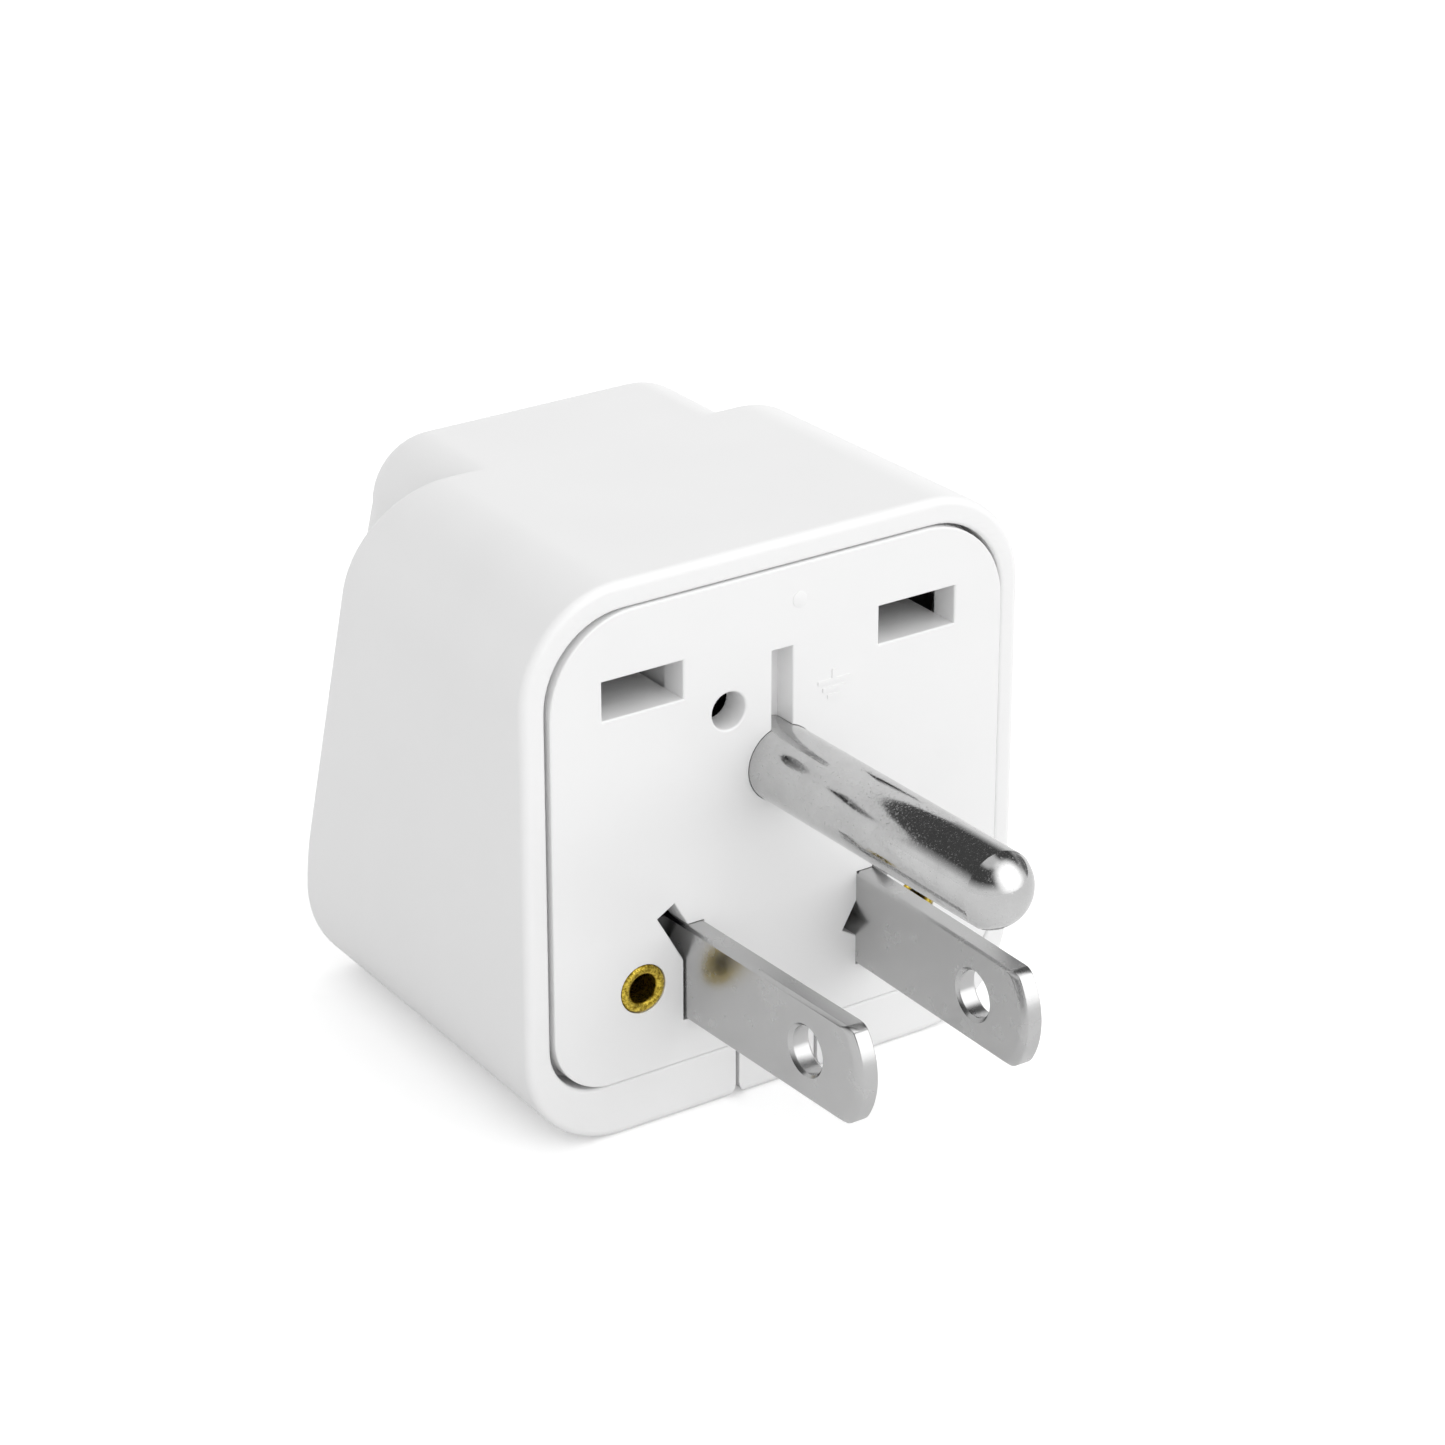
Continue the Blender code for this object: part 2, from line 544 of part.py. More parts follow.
def make_contact_carrier():
    """Insulating frame: a base plate behind the straps and walls between the contacts."""
    outline = rounded(15.0, PLATE_BOTTOM + 0.2, PLATE_TOP - 1.3, 4.6, 3.6)
    carrier = prism("contact_carrier", outline, CARRIER_Y, CARRIER_Y + 0.9, finish=CARRIER_PLASTIC)
    low = PLATE_BOTTOM + 0.3
    for side, word in ((-1, "left"), (1, "right")):
        x_from, x_to = sorted((side * 4.0, side * 5.0))
        combine(carrier, box(f"wall_{word}", (x_from, CARRIER_Y + 0.2, low),
                             (x_to, 19.2, 26.0)), "UNION")
        combine(carrier, box(f"arm_{word}", (x_from, 18.0, 20.0),
                             (x_to, 25.6, SHELF_Z + 1.2)), "UNION")
        x_from, x_to = sorted((side * 4.5, side * 10.3))
        combine(carrier, box(f"shelf_{word}", (x_from, 18.4, SHELF_Z),
                             (x_to, 24.0, SHELF_Z + 1.1)), "UNION")
        x_from, x_to = sorted((side * 4.8, side * 14.1))
        combine(carrier, box(f"roof_{word}", (x_from, CARRIER_Y + 0.3, 12.4),
                             (x_to, 18.9, 13.4)), "UNION")
        neck = slot_outline(side * 12.5, LIVE_Z - 0.3, 1.0, 2.4)
        combine(carrier, prism(f"neck_way_{word}", neck, 5, 7))
    combine(carrier, rod("tail_way", 0, PIN_Z, 1.9, 5, 7))
    for word, z in (("upper", EARTH_TOP_Z), ("lower", EARTH_JAW_LOW_Z)):
        combine(carrier, prism(f"earth_way_{word}", slot_outline(0, z, 1.9, 1.6), 5, 7))


def make_shutter():
    """A U-shaped slide. A pin in each live opening pushes its ramp, and the slide rises."""
    pivot = bpy.data.objects.new("shutter_slide", None)
    pivot.parent = FRAME
    pivot.location = (0, (SHUTTER_FRONT + SHUTTER_BACK) / 2 * MM, SHUTTER_LOW * MM)
    PARTS.objects.link(pivot)
    y_mid = pivot.location.y / MM
    front, back = SHUTTER_FRONT - y_mid, SHUTTER_BACK - y_mid
    top = SHUTTER_TOP - SHUTTER_LOW
    ramp = [(front, 0), (front + 0.9, 0), (back, top - 1.4), (back, top), (front, top)]
    shutter = prism("shutter", ramp, -14.2, 14.2, axis="x", finish=SHUTTER_PLASTIC, parent=pivot)
    shape = [(14.2, 2.6), (14.2, top + 1), (3.9, top + 1), (3.9, 1.3), (-3.9, 1.3),
             (-3.9, top + 1), (-14.2, top + 1), (-14.2, 2.6), (-11.4, -0.1), (11.4, -0.1)]
    combine(shutter, prism("shutter_shape", shape, -9, 9, parent=pivot), "INTERSECT")
    for way, word in ((-1, "left"), (1, "right")):
        bm = bmesh.new()
        bmesh.ops.create_cone(bm, cap_ends=True, segments=12, radius1=0.85 * MM,
                              radius2=0.6 * MM, depth=1.6 * MM)
        place = (way * SPRING_X * MM, (SPRING_Y - y_mid) * MM, (top + 0.6) * MM)
        bmesh.ops.translate(bm, vec=place, verts=bm.verts)
        combine(shutter, from_bmesh(f"spring_peg_{word}", bm, parent=pivot), "UNION")


def make_shutter_spring(side, word):
    low, high = SHUTTER_TOP + GAP + SPRING_WIRE, SHELF_Z - GAP - SPRING_WIRE
    steps = SPRING_TURNS * 12
    curve = bpy.data.curves.new(f"shutter_spring_{word}", "CURVE")
    curve.dimensions = "3D"
    curve.bevel_depth = SPRING_WIRE * MM
    curve.bevel_resolution = 1
    curve.use_fill_caps = True
    curve.materials.append(material(SPRING_STEEL))
    spline = curve.splines.new("POLY")
    spline.points.add(steps)
    for i, point in enumerate(spline.points):
        turn = 2 * math.pi * SPRING_TURNS * i / steps
        x = side * SPRING_X + SPRING_R * math.cos(turn)
        y = SPRING_Y + SPRING_R * math.sin(turn)
        point.co = (x * MM, y * MM, (low + (high - low) * i / steps) * MM, 1)
    spring = bpy.data.objects.new(f"shutter_spring_{word}", curve)
    spring.parent = FRAME
    PARTS.objects.link(spring)


def seat_plug():
    """Hangs every piece and cutter made so far on the plug's own frame."""
    for obj in list(PARTS.objects) + list(CUTTERS.objects):
        if obj.parent == FRAME and obj != PLUG_FRAME:
            obj.parent = PLUG_FRAME


def build():
    make_front_plate()
    for side, word in ((-1, "left"), (1, "right")):
        make_blade(side, word)
        make_rivet(side, word)
        make_live_contact(side, word)
    make_earth_pin()
    make_earth_contact()
    make_contact_carrier()
    seat_plug()

    make_housing()
    make_shutter()
    for side, word in ((-1, "left"), (1, "right")):
        make_shutter_spring(side, word)


build()
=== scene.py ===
"""Looks of a white travel adapter: a flat-blade plug with a round earth pin on the front and a
shuttered universal socket on the rear.

Sizes are in millimetres in the plug's own coordinates: x across, y = 0 on the plug face and growing
towards the socket, z = 0 at the flat bottom. at() turns them into the frame's metres. Pieces of
the plug side are drawn round x = 0, and seat() then moves them to where the plug sits.
"""
import math

import bmesh
import bpy
from mathutils import Matrix, Vector


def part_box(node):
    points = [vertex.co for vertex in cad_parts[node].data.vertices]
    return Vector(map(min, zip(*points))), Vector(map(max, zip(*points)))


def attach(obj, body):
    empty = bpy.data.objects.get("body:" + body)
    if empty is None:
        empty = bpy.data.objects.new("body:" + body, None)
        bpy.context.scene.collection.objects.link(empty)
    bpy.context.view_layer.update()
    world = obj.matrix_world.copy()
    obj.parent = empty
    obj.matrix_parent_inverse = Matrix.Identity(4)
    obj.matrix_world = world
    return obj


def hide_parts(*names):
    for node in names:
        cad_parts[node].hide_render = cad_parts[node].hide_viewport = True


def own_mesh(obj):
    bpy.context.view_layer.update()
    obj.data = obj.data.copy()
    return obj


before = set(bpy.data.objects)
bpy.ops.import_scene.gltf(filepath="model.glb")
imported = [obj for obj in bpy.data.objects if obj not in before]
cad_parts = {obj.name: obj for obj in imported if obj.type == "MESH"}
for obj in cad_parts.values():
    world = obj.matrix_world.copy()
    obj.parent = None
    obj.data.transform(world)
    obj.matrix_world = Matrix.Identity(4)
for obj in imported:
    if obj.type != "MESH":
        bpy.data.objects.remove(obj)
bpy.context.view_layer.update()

MM = 0.001
BODY = "adapter"

# Driving sizes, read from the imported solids
PLATE_LOW, PLATE_HIGH = [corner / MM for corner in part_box("front_plate")]
HOUSING_LOW, HOUSING_HIGH = [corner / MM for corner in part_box("housing")]
BLADE_LOW, BLADE_HIGH = [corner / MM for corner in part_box("blade_left")]
PIN_LOW, PIN_HIGH = [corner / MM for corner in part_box("earth_pin")]
RIVET_LOW, RIVET_HIGH = [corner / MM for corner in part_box("rivet_right")]
SPRING_LOW, SPRING_HIGH = [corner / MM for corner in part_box("shutter_spring_right")]
FACE_Y = PLATE_LOW.y

# Housing
BODY_HALF = HOUSING_HIGH.x
BODY_HEIGHT = HOUSING_HIGH.z
BODY_DEPTH = HOUSING_HIGH.y - FACE_Y
RIM_Y = HOUSING_LOW.y - FACE_Y
RIM_ROUND = 0.55
CORNER_TOP = 6.7
CORNER_BOTTOM = 6.5
SIDE_DRAFT = 0.04         # each side leans in this much per millimetre of depth
TOP_DEPTH = 20.15         # where the top of the main block ends and its rear slopes down
REAR_SLOPE = 0.31         # depth gained per millimetre down the rear
REAR_ROUND = 0.9
LEDGE = 0.3               # the socket face stands this far behind the main block's rear
FACE_WALL = 2.8
BLOCK_TOP_HALF = 11.6
BLOCK_FLARE = 0.237       # the socket block widens this much per millimetre down
BLOCK_CORNER = 4.0
BLOCK_ROUND = 2.8
BLOCK_WIDEST = 16.3
BLOCK_BOTTOM = 0.35
SLIT_X = 2.9              # the two slits of the snap tab
SLIT_HALF = 0.14
SLIT_ROUND = 0.9
SLIT_DEPTH = 12
MOUTH_ROUND = 0.25        # rounding of the edges that moulded openings have

# Plug side
PLUG_X = (PLATE_HIGH.x + PLATE_LOW.x) / 2     # the whole plug side sits this far to the right
PLATE_GROWN = 0.12        # each side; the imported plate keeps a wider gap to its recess
PLATE_HALF = (PLATE_HIGH.x - PLATE_LOW.x) / 2 + PLATE_GROWN
PLATE_BOTTOM = PLATE_LOW.z
PLATE_TOP = PLATE_HIGH.z
PLATE_THICK = 2.0
PLATE_CORNER_TOP = 5.7
PLATE_CORNER_BOTTOM = 3.9
PLATE_EDGE = 0.12         # rounding of the plate's front edge
PLATE_GAP = 0.16          # mean gap beside the plate
PLATE_GAP_HIGH = 0.06     # gap above and below it
RECESS_SHIFT = 0.1        # less than the plug side's, so that the gap is wider on the left
RECESS_DEPTH = PLATE_THICK + 0.3
RECESS_CORNER_TOP = 5.3
RECESS_CORNER_BOTTOM = 3.5
BLADE_X = 6.35
BLADE_THICK = 1.45
BLADE_WIDE = BLADE_HIGH.z - BLADE_LOW.z
BLADE_Z = (BLADE_HIGH.z + BLADE_LOW.z) / 2
BLADE_LENGTH = FACE_Y - BLADE_LOW.y
TOE_IN = {"left": 1.8, "right": 1.2}     # degrees each blade leans towards the other
HOLE_FROM_FACE = 11.9
HOLE_R = 1.5
PIN_Z = (PIN_HIGH.z + PIN_LOW.z) / 2
PIN_RISE = 0.2            # the pin's tip is this much higher than its foot
PIN_R = 2.4
PIN_LENGTH = FACE_Y - PIN_LOW.y
RIVET_X = (RIVET_HIGH.x + RIVET_LOW.x) / 2 - PLUG_X
RIVET_Z = (RIVET_HIGH.z + RIVET_LOW.z) / 2
RIM_R, BORE_R = 1.56, 0.92               # rivet: rolled rim and bore
SHANK_R, FLANGE_R = 1.15, 2.1
WINDOW_X = 9.8
WINDOW_Z = BLADE_Z + 19.05
WINDOW = (2.8, 1.22)      # half width and half height
ROUND_HOLE_X = -3.8
ROUND_HOLE_Z = BLADE_Z + 16.25
ROUND_HOLE_R = 1.18
EARTH_SLOT_Z = PIN_Z + 3.7
EARTH_SLOT = (0.75, 3.65)
EARTH_SLOT_DEPTH = 1.6
DIAGONAL_X = 6.75         # slanted slots that cross the blades' slots
DIAGONAL_Z = BLADE_Z + 1.75
DIAGONAL_SLOT = (0.7, 3.1)
RIB_BACK = 5.1            # ribs behind the plate: a sill under each window and one upright
RIB_THICK = 0.8
RIB_X = -6.6
MARK_X, MARK_Z = 3.7, 25.6
MARK_RAISED = 0.06        # moulded marks stand this far off the face
GATE_X, GATE_Z = 1.2, 31.8


def at(x, y, z):
    """A point given in plug millimetres, in the frame's metres."""
    return Vector((x, y + FACE_Y, z)) * MM


# Materials -------------------------------------------------------------------------------------

def colour(hex_code):
    """An sRGB hex colour as linear red, green, blue and alpha."""
    parts = [int(hex_code[i:i + 2], 16) / 255 for i in (1, 3, 5)]
    linear = [c / 12.92 if c <= 0.04045 else ((c + 0.055) / 1.055) ** 2.4 for c in parts]
    return (*linear, 1.0)


def add_node(tree, kind, settings=None, inputs=None):
    """One node with its settings, its input values and its links."""
    node = tree.nodes.new(kind)
    for name, value in (settings or {}).items():
        setattr(node, name, value)
    for name, value in (inputs or {}).items():
        if isinstance(value, bpy.types.NodeSocket):
            tree.links.new(value, node.inputs[name])
        else:
            node.inputs[name].default_value = value
    return node


def new_material(name, **principled):
    """A material whose Principled shader gets the values that are the same all over."""
    made = bpy.data.materials.new(name)
    made.use_nodes = True
    tree = made.node_tree
    shader = tree.nodes["Principled BSDF"]
    for socket, value in principled.items():
        shader.inputs[socket.replace("_", " ")].default_value = value
    place = add_node(tree, "ShaderNodeTexCoord").outputs["Object"]
    return made, tree, shader, place


def per_mm(size):
    """Scale of a pattern on Object coordinates, in metres, whose features are size millimetres."""
    return 1 / (size * MM)


def moulded_abs():
    """ABS, injection moulded in a fine polished tool: a soft satin gloss, almost even white, with
    a faint orange peel and slow changes of gloss where the melt flowed."""
    made, tree, shader, place = new_material("moulded_white_abs", IOR=1.53)
    flow = add_node(tree, "ShaderNodeTexNoise", {}, {
        "Vector": place, "Scale": per_mm(9), "Detail": 2.0, "Roughness": 0.5})
    tone = add_node(tree, "ShaderNodeMix", {"data_type": "RGBA"}, {
        "Factor": flow.outputs["Fac"], 6: colour("#F0F0F0"), 7: colour("#F4F4F4")})
    gloss = add_node(tree, "ShaderNodeMapRange", {}, {
        "Value": flow.outputs["Fac"], "To Min": 0.27, "To Max": 0.36})
    peel = add_node(tree, "ShaderNodeTexNoise", {}, {
        "Vector": place, "Scale": per_mm(0.8), "Detail": 3.0, "Roughness": 0.55})
    skin = add_node(tree, "ShaderNodeBump", {}, {
        "Height": peel.outputs["Fac"], "Strength": 0.25, "Distance": 0.008 * MM})
    tree.links.new(tone.outputs[2], shader.inputs["Base Color"])
    tree.links.new(gloss.outputs["Result"], shader.inputs["Roughness"])
    tree.links.new(skin.outputs["Normal"], shader.inputs["Normal"])
    return made


def satin_nickel():
    """Bright nickel over brass strip, tumbled after stamping: a grey satin with fine rolling lines
    along the blade and slow cloudy changes of gloss."""
    made, tree, shader, place = new_material("satin_nickel_plate", Metallic=1.0)
    stretched = add_node(tree, "ShaderNodeMapping", {}, {
        "Vector": place, "Scale": (1.0, 0.06, 1.0)})
    lines = add_node(tree, "ShaderNodeTexNoise", {}, {
        "Vector": stretched.outputs["Vector"], "Scale": per_mm(0.12), "Detail": 3.0,
        "Roughness": 0.6})
    clouds = add_node(tree, "ShaderNodeTexNoise", {}, {
        "Vector": place, "Scale": per_mm(2.2), "Detail": 4.0, "Roughness": 0.6})
    tone = add_node(tree, "ShaderNodeMix", {"data_type": "RGBA"}, {
        "Factor": clouds.outputs["Fac"], 6: colour("#B6B6B6"), 7: colour("#C6C6C6")})
    gloss = add_node(tree, "ShaderNodeMapRange", {}, {
        "Value": clouds.outputs["Fac"], "From Min": 0.3, "From Max": 0.7,
        "To Min": 0.20, "To Max": 0.30})
    grain = add_node(tree, "ShaderNodeBump", {}, {
        "Height": lines.outputs["Fac"], "Strength": 0.35, "Distance": 0.004 * MM})
    tree.links.new(tone.outputs[2], shader.inputs["Base Color"])
    tree.links.new(gloss.outputs["Result"], shader.inputs["Roughness"])
    tree.links.new(grain.outputs["Normal"], shader.inputs["Normal"])
    return made


def polished_nickel():
    """Nickel over a turned brass pin: nearly a mirror, with faint turning rings, broken by fine
    specks and rubbed where it has been plugged in."""
    made, tree, shader, place = new_material("polished_nickel_plate", Metallic=1.0)
    specks = add_node(tree, "ShaderNodeTexNoise", {}, {
        "Vector": place, "Scale": per_mm(0.16), "Detail": 3.0, "Roughness": 0.7})
    scuffs = add_node(tree, "ShaderNodeTexNoise", {}, {
        "Vector": place, "Scale": per_mm(1.8), "Detail": 4.0, "Roughness": 0.65})
    rings = add_node(tree, "ShaderNodeTexWave", {"bands_direction": "Y"}, {
        "Vector": place, "Scale": per_mm(0.45) / 20, "Distortion": 0.6, "Detail": 2.0})
    rubbed = add_node(tree, "ShaderNodeMapRange", {}, {
        "Value": specks.outputs["Fac"], "From Min": 0.52, "From Max": 0.72})
    tone = add_node(tree, "ShaderNodeMix", {"data_type": "RGBA"}, {
        "Factor": scuffs.outputs["Fac"], 6: colour("#B9B9B9"), 7: colour("#CFCFCF")})
    gloss = add_node(tree, "ShaderNodeMapRange", {}, {
        "Value": rubbed.outputs["Result"], "To Min": 0.10, "To Max": 0.42})
    rise = add_node(tree, "ShaderNodeMath", {"operation": "MULTIPLY_ADD"}, {
        0: rings.outputs["Fac"], 1: 0.25, 2: specks.outputs["Fac"]})
    skin = add_node(tree, "ShaderNodeBump", {}, {
        "Height": rise.outputs[0], "Strength": 0.35, "Distance": 0.004 * MM})
    tree.links.new(tone.outputs[2], shader.inputs["Base Color"])
    tree.links.new(gloss.outputs["Result"], shader.inputs["Roughness"])
    tree.links.new(skin.outputs["Normal"], shader.inputs["Normal"])
    return made


def rolled_brass():
    """Brass rivet, rolled over by a punch and left to tarnish: yellow, pitted and mottled."""
    made, tree, shader, place = new_material("rolled_brass", Metallic=1.0)
    pits = add_node(tree, "ShaderNodeTexNoise", {}, {
        "Vector": place, "Scale": per_mm(0.2), "Detail": 4.0, "Roughness": 0.75})
    spread = add_node(tree, "ShaderNodeMapRange", {}, {
        "Value": pits.outputs["Fac"], "From Min": 0.38, "From Max": 0.6})
    tone = add_node(tree, "ShaderNodeMix", {"data_type": "RGBA"}, {
        "Factor": spread.outputs["Result"], 6: colour("#7F6614"), 7: colour("#E8CE58")})
    gloss = add_node(tree, "ShaderNodeMapRange", {}, {
        "Value": pits.outputs["Fac"], "To Min": 0.45, "To Max": 0.2})
    skin = add_node(tree, "ShaderNodeBump", {}, {
        "Height": pits.outputs["Fac"], "Strength": 0.8, "Distance": 0.04 * MM})
    tree.links.new(tone.outputs[2], shader.inputs["Base Color"])
    tree.links.new(gloss.outputs["Result"], shader.inputs["Roughness"])
    tree.links.new(skin.outputs["Normal"], shader.inputs["Normal"])
    return made


def stamped_brass():
    """Bright brass strip, rolled and then stamped: fine lines along the strip, soft stains."""
    made, tree, shader, place = new_material("stamped_brass_strip", Metallic=1.0)
    stretched = add_node(tree, "ShaderNodeMapping", {}, {
        "Vector": place, "Scale": (1.0, 0.05, 1.0)})
    lines = add_node(tree, "ShaderNodeTexNoise", {}, {
        "Vector": stretched.outputs["Vector"], "Scale": per_mm(0.15), "Detail": 3.0})
    stains = add_node(tree, "ShaderNodeTexNoise", {}, {
        "Vector": place, "Scale": per_mm(3), "Detail": 4.0, "Roughness": 0.6})
    tone = add_node(tree, "ShaderNodeMix", {"data_type": "RGBA"}, {
        "Factor": stains.outputs["Fac"], 6: colour("#C79B45"), 7: colour("#E2BD66")})
    gloss = add_node(tree, "ShaderNodeMapRange", {}, {
        "Value": stains.outputs["Fac"], "To Min": 0.2, "To Max": 0.4})
    grain = add_node(tree, "ShaderNodeBump", {}, {
        "Height": lines.outputs["Fac"], "Strength": 0.3, "Distance": 0.005 * MM})
    tree.links.new(tone.outputs[2], shader.inputs["Base Color"])
    tree.links.new(gloss.outputs["Result"], shader.inputs["Roughness"])
    tree.links.new(grain.outputs["Normal"], shader.inputs["Normal"])
    return made


def tempered_steel():
    """Spring steel, drawn or rolled and tempered: dull grey with a faint blue-brown cast."""
    made, tree, shader, place = new_material("tempered_spring_steel", Metallic=1.0)
    heat = add_node(tree, "ShaderNodeTexNoise", {}, {
        "Vector": place, "Scale": per_mm(1.5), "Detail": 3.0, "Roughness": 0.6})
    tone = add_node(tree, "ShaderNodeMix", {"data_type": "RGBA"}, {
        "Factor": heat.outputs["Fac"], 6: colour("#85817C"), 7: colour("#A4A5A8")})
    gloss = add_node(tree, "ShaderNodeMapRange", {}, {
        "Value": heat.outputs["Fac"], "To Min": 0.28, "To Max": 0.45})
    skin = add_node(tree, "ShaderNodeBump", {}, {
        "Height": heat.outputs["Fac"], "Strength": 0.2, "Distance": 0.01 * MM})
    tree.links.new(tone.outputs[2], shader.inputs["Base Color"])
    tree.links.new(gloss.outputs["Result"], shader.inputs["Roughness"])
    tree.links.new(skin.outputs["Normal"], shader.inputs["Normal"])
    return made


def filled_nylon():
    """Glass-filled nylon, moulded: charcoal and matt, with short pale fibres just under the skin.
    Its charcoal also serves as painted shade for the deep cavity seen through the right window.
    """
    made, tree, shader, place = new_material("glass_filled_nylon", IOR=1.53)
    stretched = add_node(tree, "ShaderNodeMapping", {}, {
        "Vector": place, "Scale": (1.0, 1.0, 0.25)})
    fibres = add_node(tree, "ShaderNodeTexNoise", {}, {
        "Vector": stretched.outputs["Vector"], "Scale": per_mm(0.3), "Detail": 4.0,
        "Roughness": 0.7})
    # charcoal tones: partly the nylon's own colour, partly painted shade for the cavity behind the
    # right window
    tone = add_node(tree, "ShaderNodeMix", {"data_type": "RGBA"}, {
        "Factor": fibres.outputs["Fac"], 6: colour("#2B2B2C"), 7: colour("#434344")})
    gloss = add_node(tree, "ShaderNodeMapRange", {}, {
        "Value": fibres.outputs["Fac"], "To Min": 0.5, "To Max": 0.7})
    skin = add_node(tree, "ShaderNodeBump", {}, {
        "Height": fibres.outputs["Fac"], "Strength": 0.4, "Distance": 0.02 * MM})
    tree.links.new(tone.outputs[2], shader.inputs["Base Color"])
    tree.links.new(gloss.outputs["Result"], shader.inputs["Roughness"])
    tree.links.new(skin.outputs["Normal"], shader.inputs["Normal"])
    return made


def moulded_polycarbonate():
    """Polycarbonate, moulded: a slightly warmer and duller white than the housing."""
    made, tree, shader, place = new_material("moulded_polycarbonate", IOR=1.58)
    flow = add_node(tree, "ShaderNodeTexNoise", {}, {
        "Vector": place, "Scale": per_mm(4), "Detail": 3.0})
    tone = add_node(tree, "ShaderNodeMix", {"data_type": "RGBA"}, {
        "Factor": flow.outputs["Fac"], 6: colour("#DCDBD7"), 7: colour("#E4E3E0")})
    gloss = add_node(tree, "ShaderNodeMapRange", {}, {
        "Value": flow.outputs["Fac"], "To Min": 0.4, "To Max": 0.52})
    skin = add_node(tree, "ShaderNodeBump", {}, {
        "Height": flow.outputs["Fac"], "Strength": 0.3, "Distance": 0.02 * MM})
    tree.links.new(tone.outputs[2], shader.inputs["Base Color"])
    tree.links.new(gloss.outputs["Result"], shader.inputs["Roughness"])
    tree.links.new(skin.outputs["Normal"], shader.inputs["Normal"])
    return made


def sweep_paper():
    """White background paper, matt, lit until it burns out: only the shade close under the object
    still shows on it. Light bounced off it onto matt surfaces comes from a greyer copy of it, as
    painted shade for the floor round the object."""
    made, tree, shader, place = new_material("sweep_paper", Roughness=0.9)
    fibre = add_node(tree, "ShaderNodeTexNoise", {}, {"Vector": place, "Scale": per_mm(1.5)})
    tone = add_node(tree, "ShaderNodeMix", {"data_type": "RGBA"}, {
        "Factor": fibre.outputs["Fac"], 6: colour("#FAFAFA"), 7: colour("#FCFCFC")})
    ray = add_node(tree, "ShaderNodeLightPath")
    # painted shade: bounce rays see the paper grey, standing in for the floor's shade round the
    # object
    painted_bounce_shade = add_node(tree, "ShaderNodeMix", {"data_type": "RGBA"}, {
        "Factor": ray.outputs["Is Diffuse Ray"], 6: tone.outputs[2], 7: colour("#E6E6E6")})
    burnt_out = add_node(tree, "ShaderNodeMath", {"operation": "MULTIPLY"}, {
        0: ray.outputs["Is Camera Ray"], 1: 0.27})
    tree.links.new(painted_bounce_shade.outputs[2], shader.inputs["Base Color"])
    tree.links.new(burnt_out.outputs[0], shader.inputs["Emission Strength"])
    shader.inputs["Emission Color"].default_value = (1, 1, 1, 1)
    shader.inputs["Specular IOR Level"].default_value = 0.0
    return made


ABS = moulded_abs()
SATIN_NICKEL = satin_nickel()
POLISHED_NICKEL = polished_nickel()
RIVET_BRASS = rolled_brass()
STRIP_BRASS = stamped_brass()
SPRING_STEEL = tempered_steel()
NYLON = filled_nylon()
POLYCARBONATE = moulded_polycarbonate()


# Shapes ----------------------------------------------------------------------------------------

def arc(cx, cy, radius, start, end, steps):
    turns = [math.radians(start + (end - start) * i / steps) for i in range(steps + 1)]
    return [(cx + radius * math.cos(t), cy + radius * math.sin(t)) for t in turns]


def between(start, end, steps):
    """Points strictly between two ends."""
    return [tuple(a + (b - a) * i / steps for a, b in zip(start, end)) for i in range(1, steps)]


def rounded(half, bottom, top, corner_top, corner_bottom, inset=0.0, steps=14, along=1):
    """Outline of an upright rounded rectangle, moved in by inset, with extra points along its
    upright sides. It starts on the right, goes over the top and is a mirror image of itself."""
    half, bottom, top = half - inset, bottom + inset, top - inset
    corner_top, corner_bottom = max(corner_top - inset, 0.05), max(corner_bottom - inset, 0.05)
    right_low = (half, bottom + corner_bottom)
    right_high = (half, top - corner_top)
    right = arc(half - corner_bottom, bottom + corner_bottom, corner_bottom, -90, 0, steps)
    right += between(right_low, right_high, along)
    right += arc(half - corner_top, top - corner_top, corner_top, 0, 90, steps)
    return right + [(-x, z) for x, z in reversed(right)]


def flared(inset=0.0, steps=10):
    """The socket block's outline: narrow round the earth opening, wide round the live ones."""
    top, bottom = BODY_HEIGHT - inset, BLOCK_BOTTOM + inset
    half, widest = BLOCK_TOP_HALF - inset, BLOCK_WIDEST - inset
    corner, low_corner = BLOCK_CORNER - inset * 0.5, CORNER_BOTTOM - inset
    z_corner = top - corner
    z_wide = z_corner - (widest - half) / BLOCK_FLARE
    right = arc(widest - low_corner, bottom + low_corner, low_corner, -90, 0, steps)
    right += [(widest, z_wide)]
    right += arc(half - corner, z_corner, corner, 0, 90, steps)
    return right + [(-x, z) for x, z in reversed(right)]


def leaning(cx, cz, half_width, half_height, lean=0, grow=0.0):
    """A flat-ended slot, turned by lean degrees clockwise from upright."""
    turn = math.radians(-lean)
    u, v = half_width + grow, half_height + grow
    corners = [(u, -v), (u, v), (-u, v), (-u, -v)]
    return [(cx + a * math.cos(turn) - b * math.sin(turn),
             cz + a * math.sin(turn) + b * math.cos(turn)) for a, b in corners]


def ring_round(cx, cz, radius, grow=0.0, steps=32):
    return arc(cx, cz, radius + grow, 0, 360, steps)[:-1]


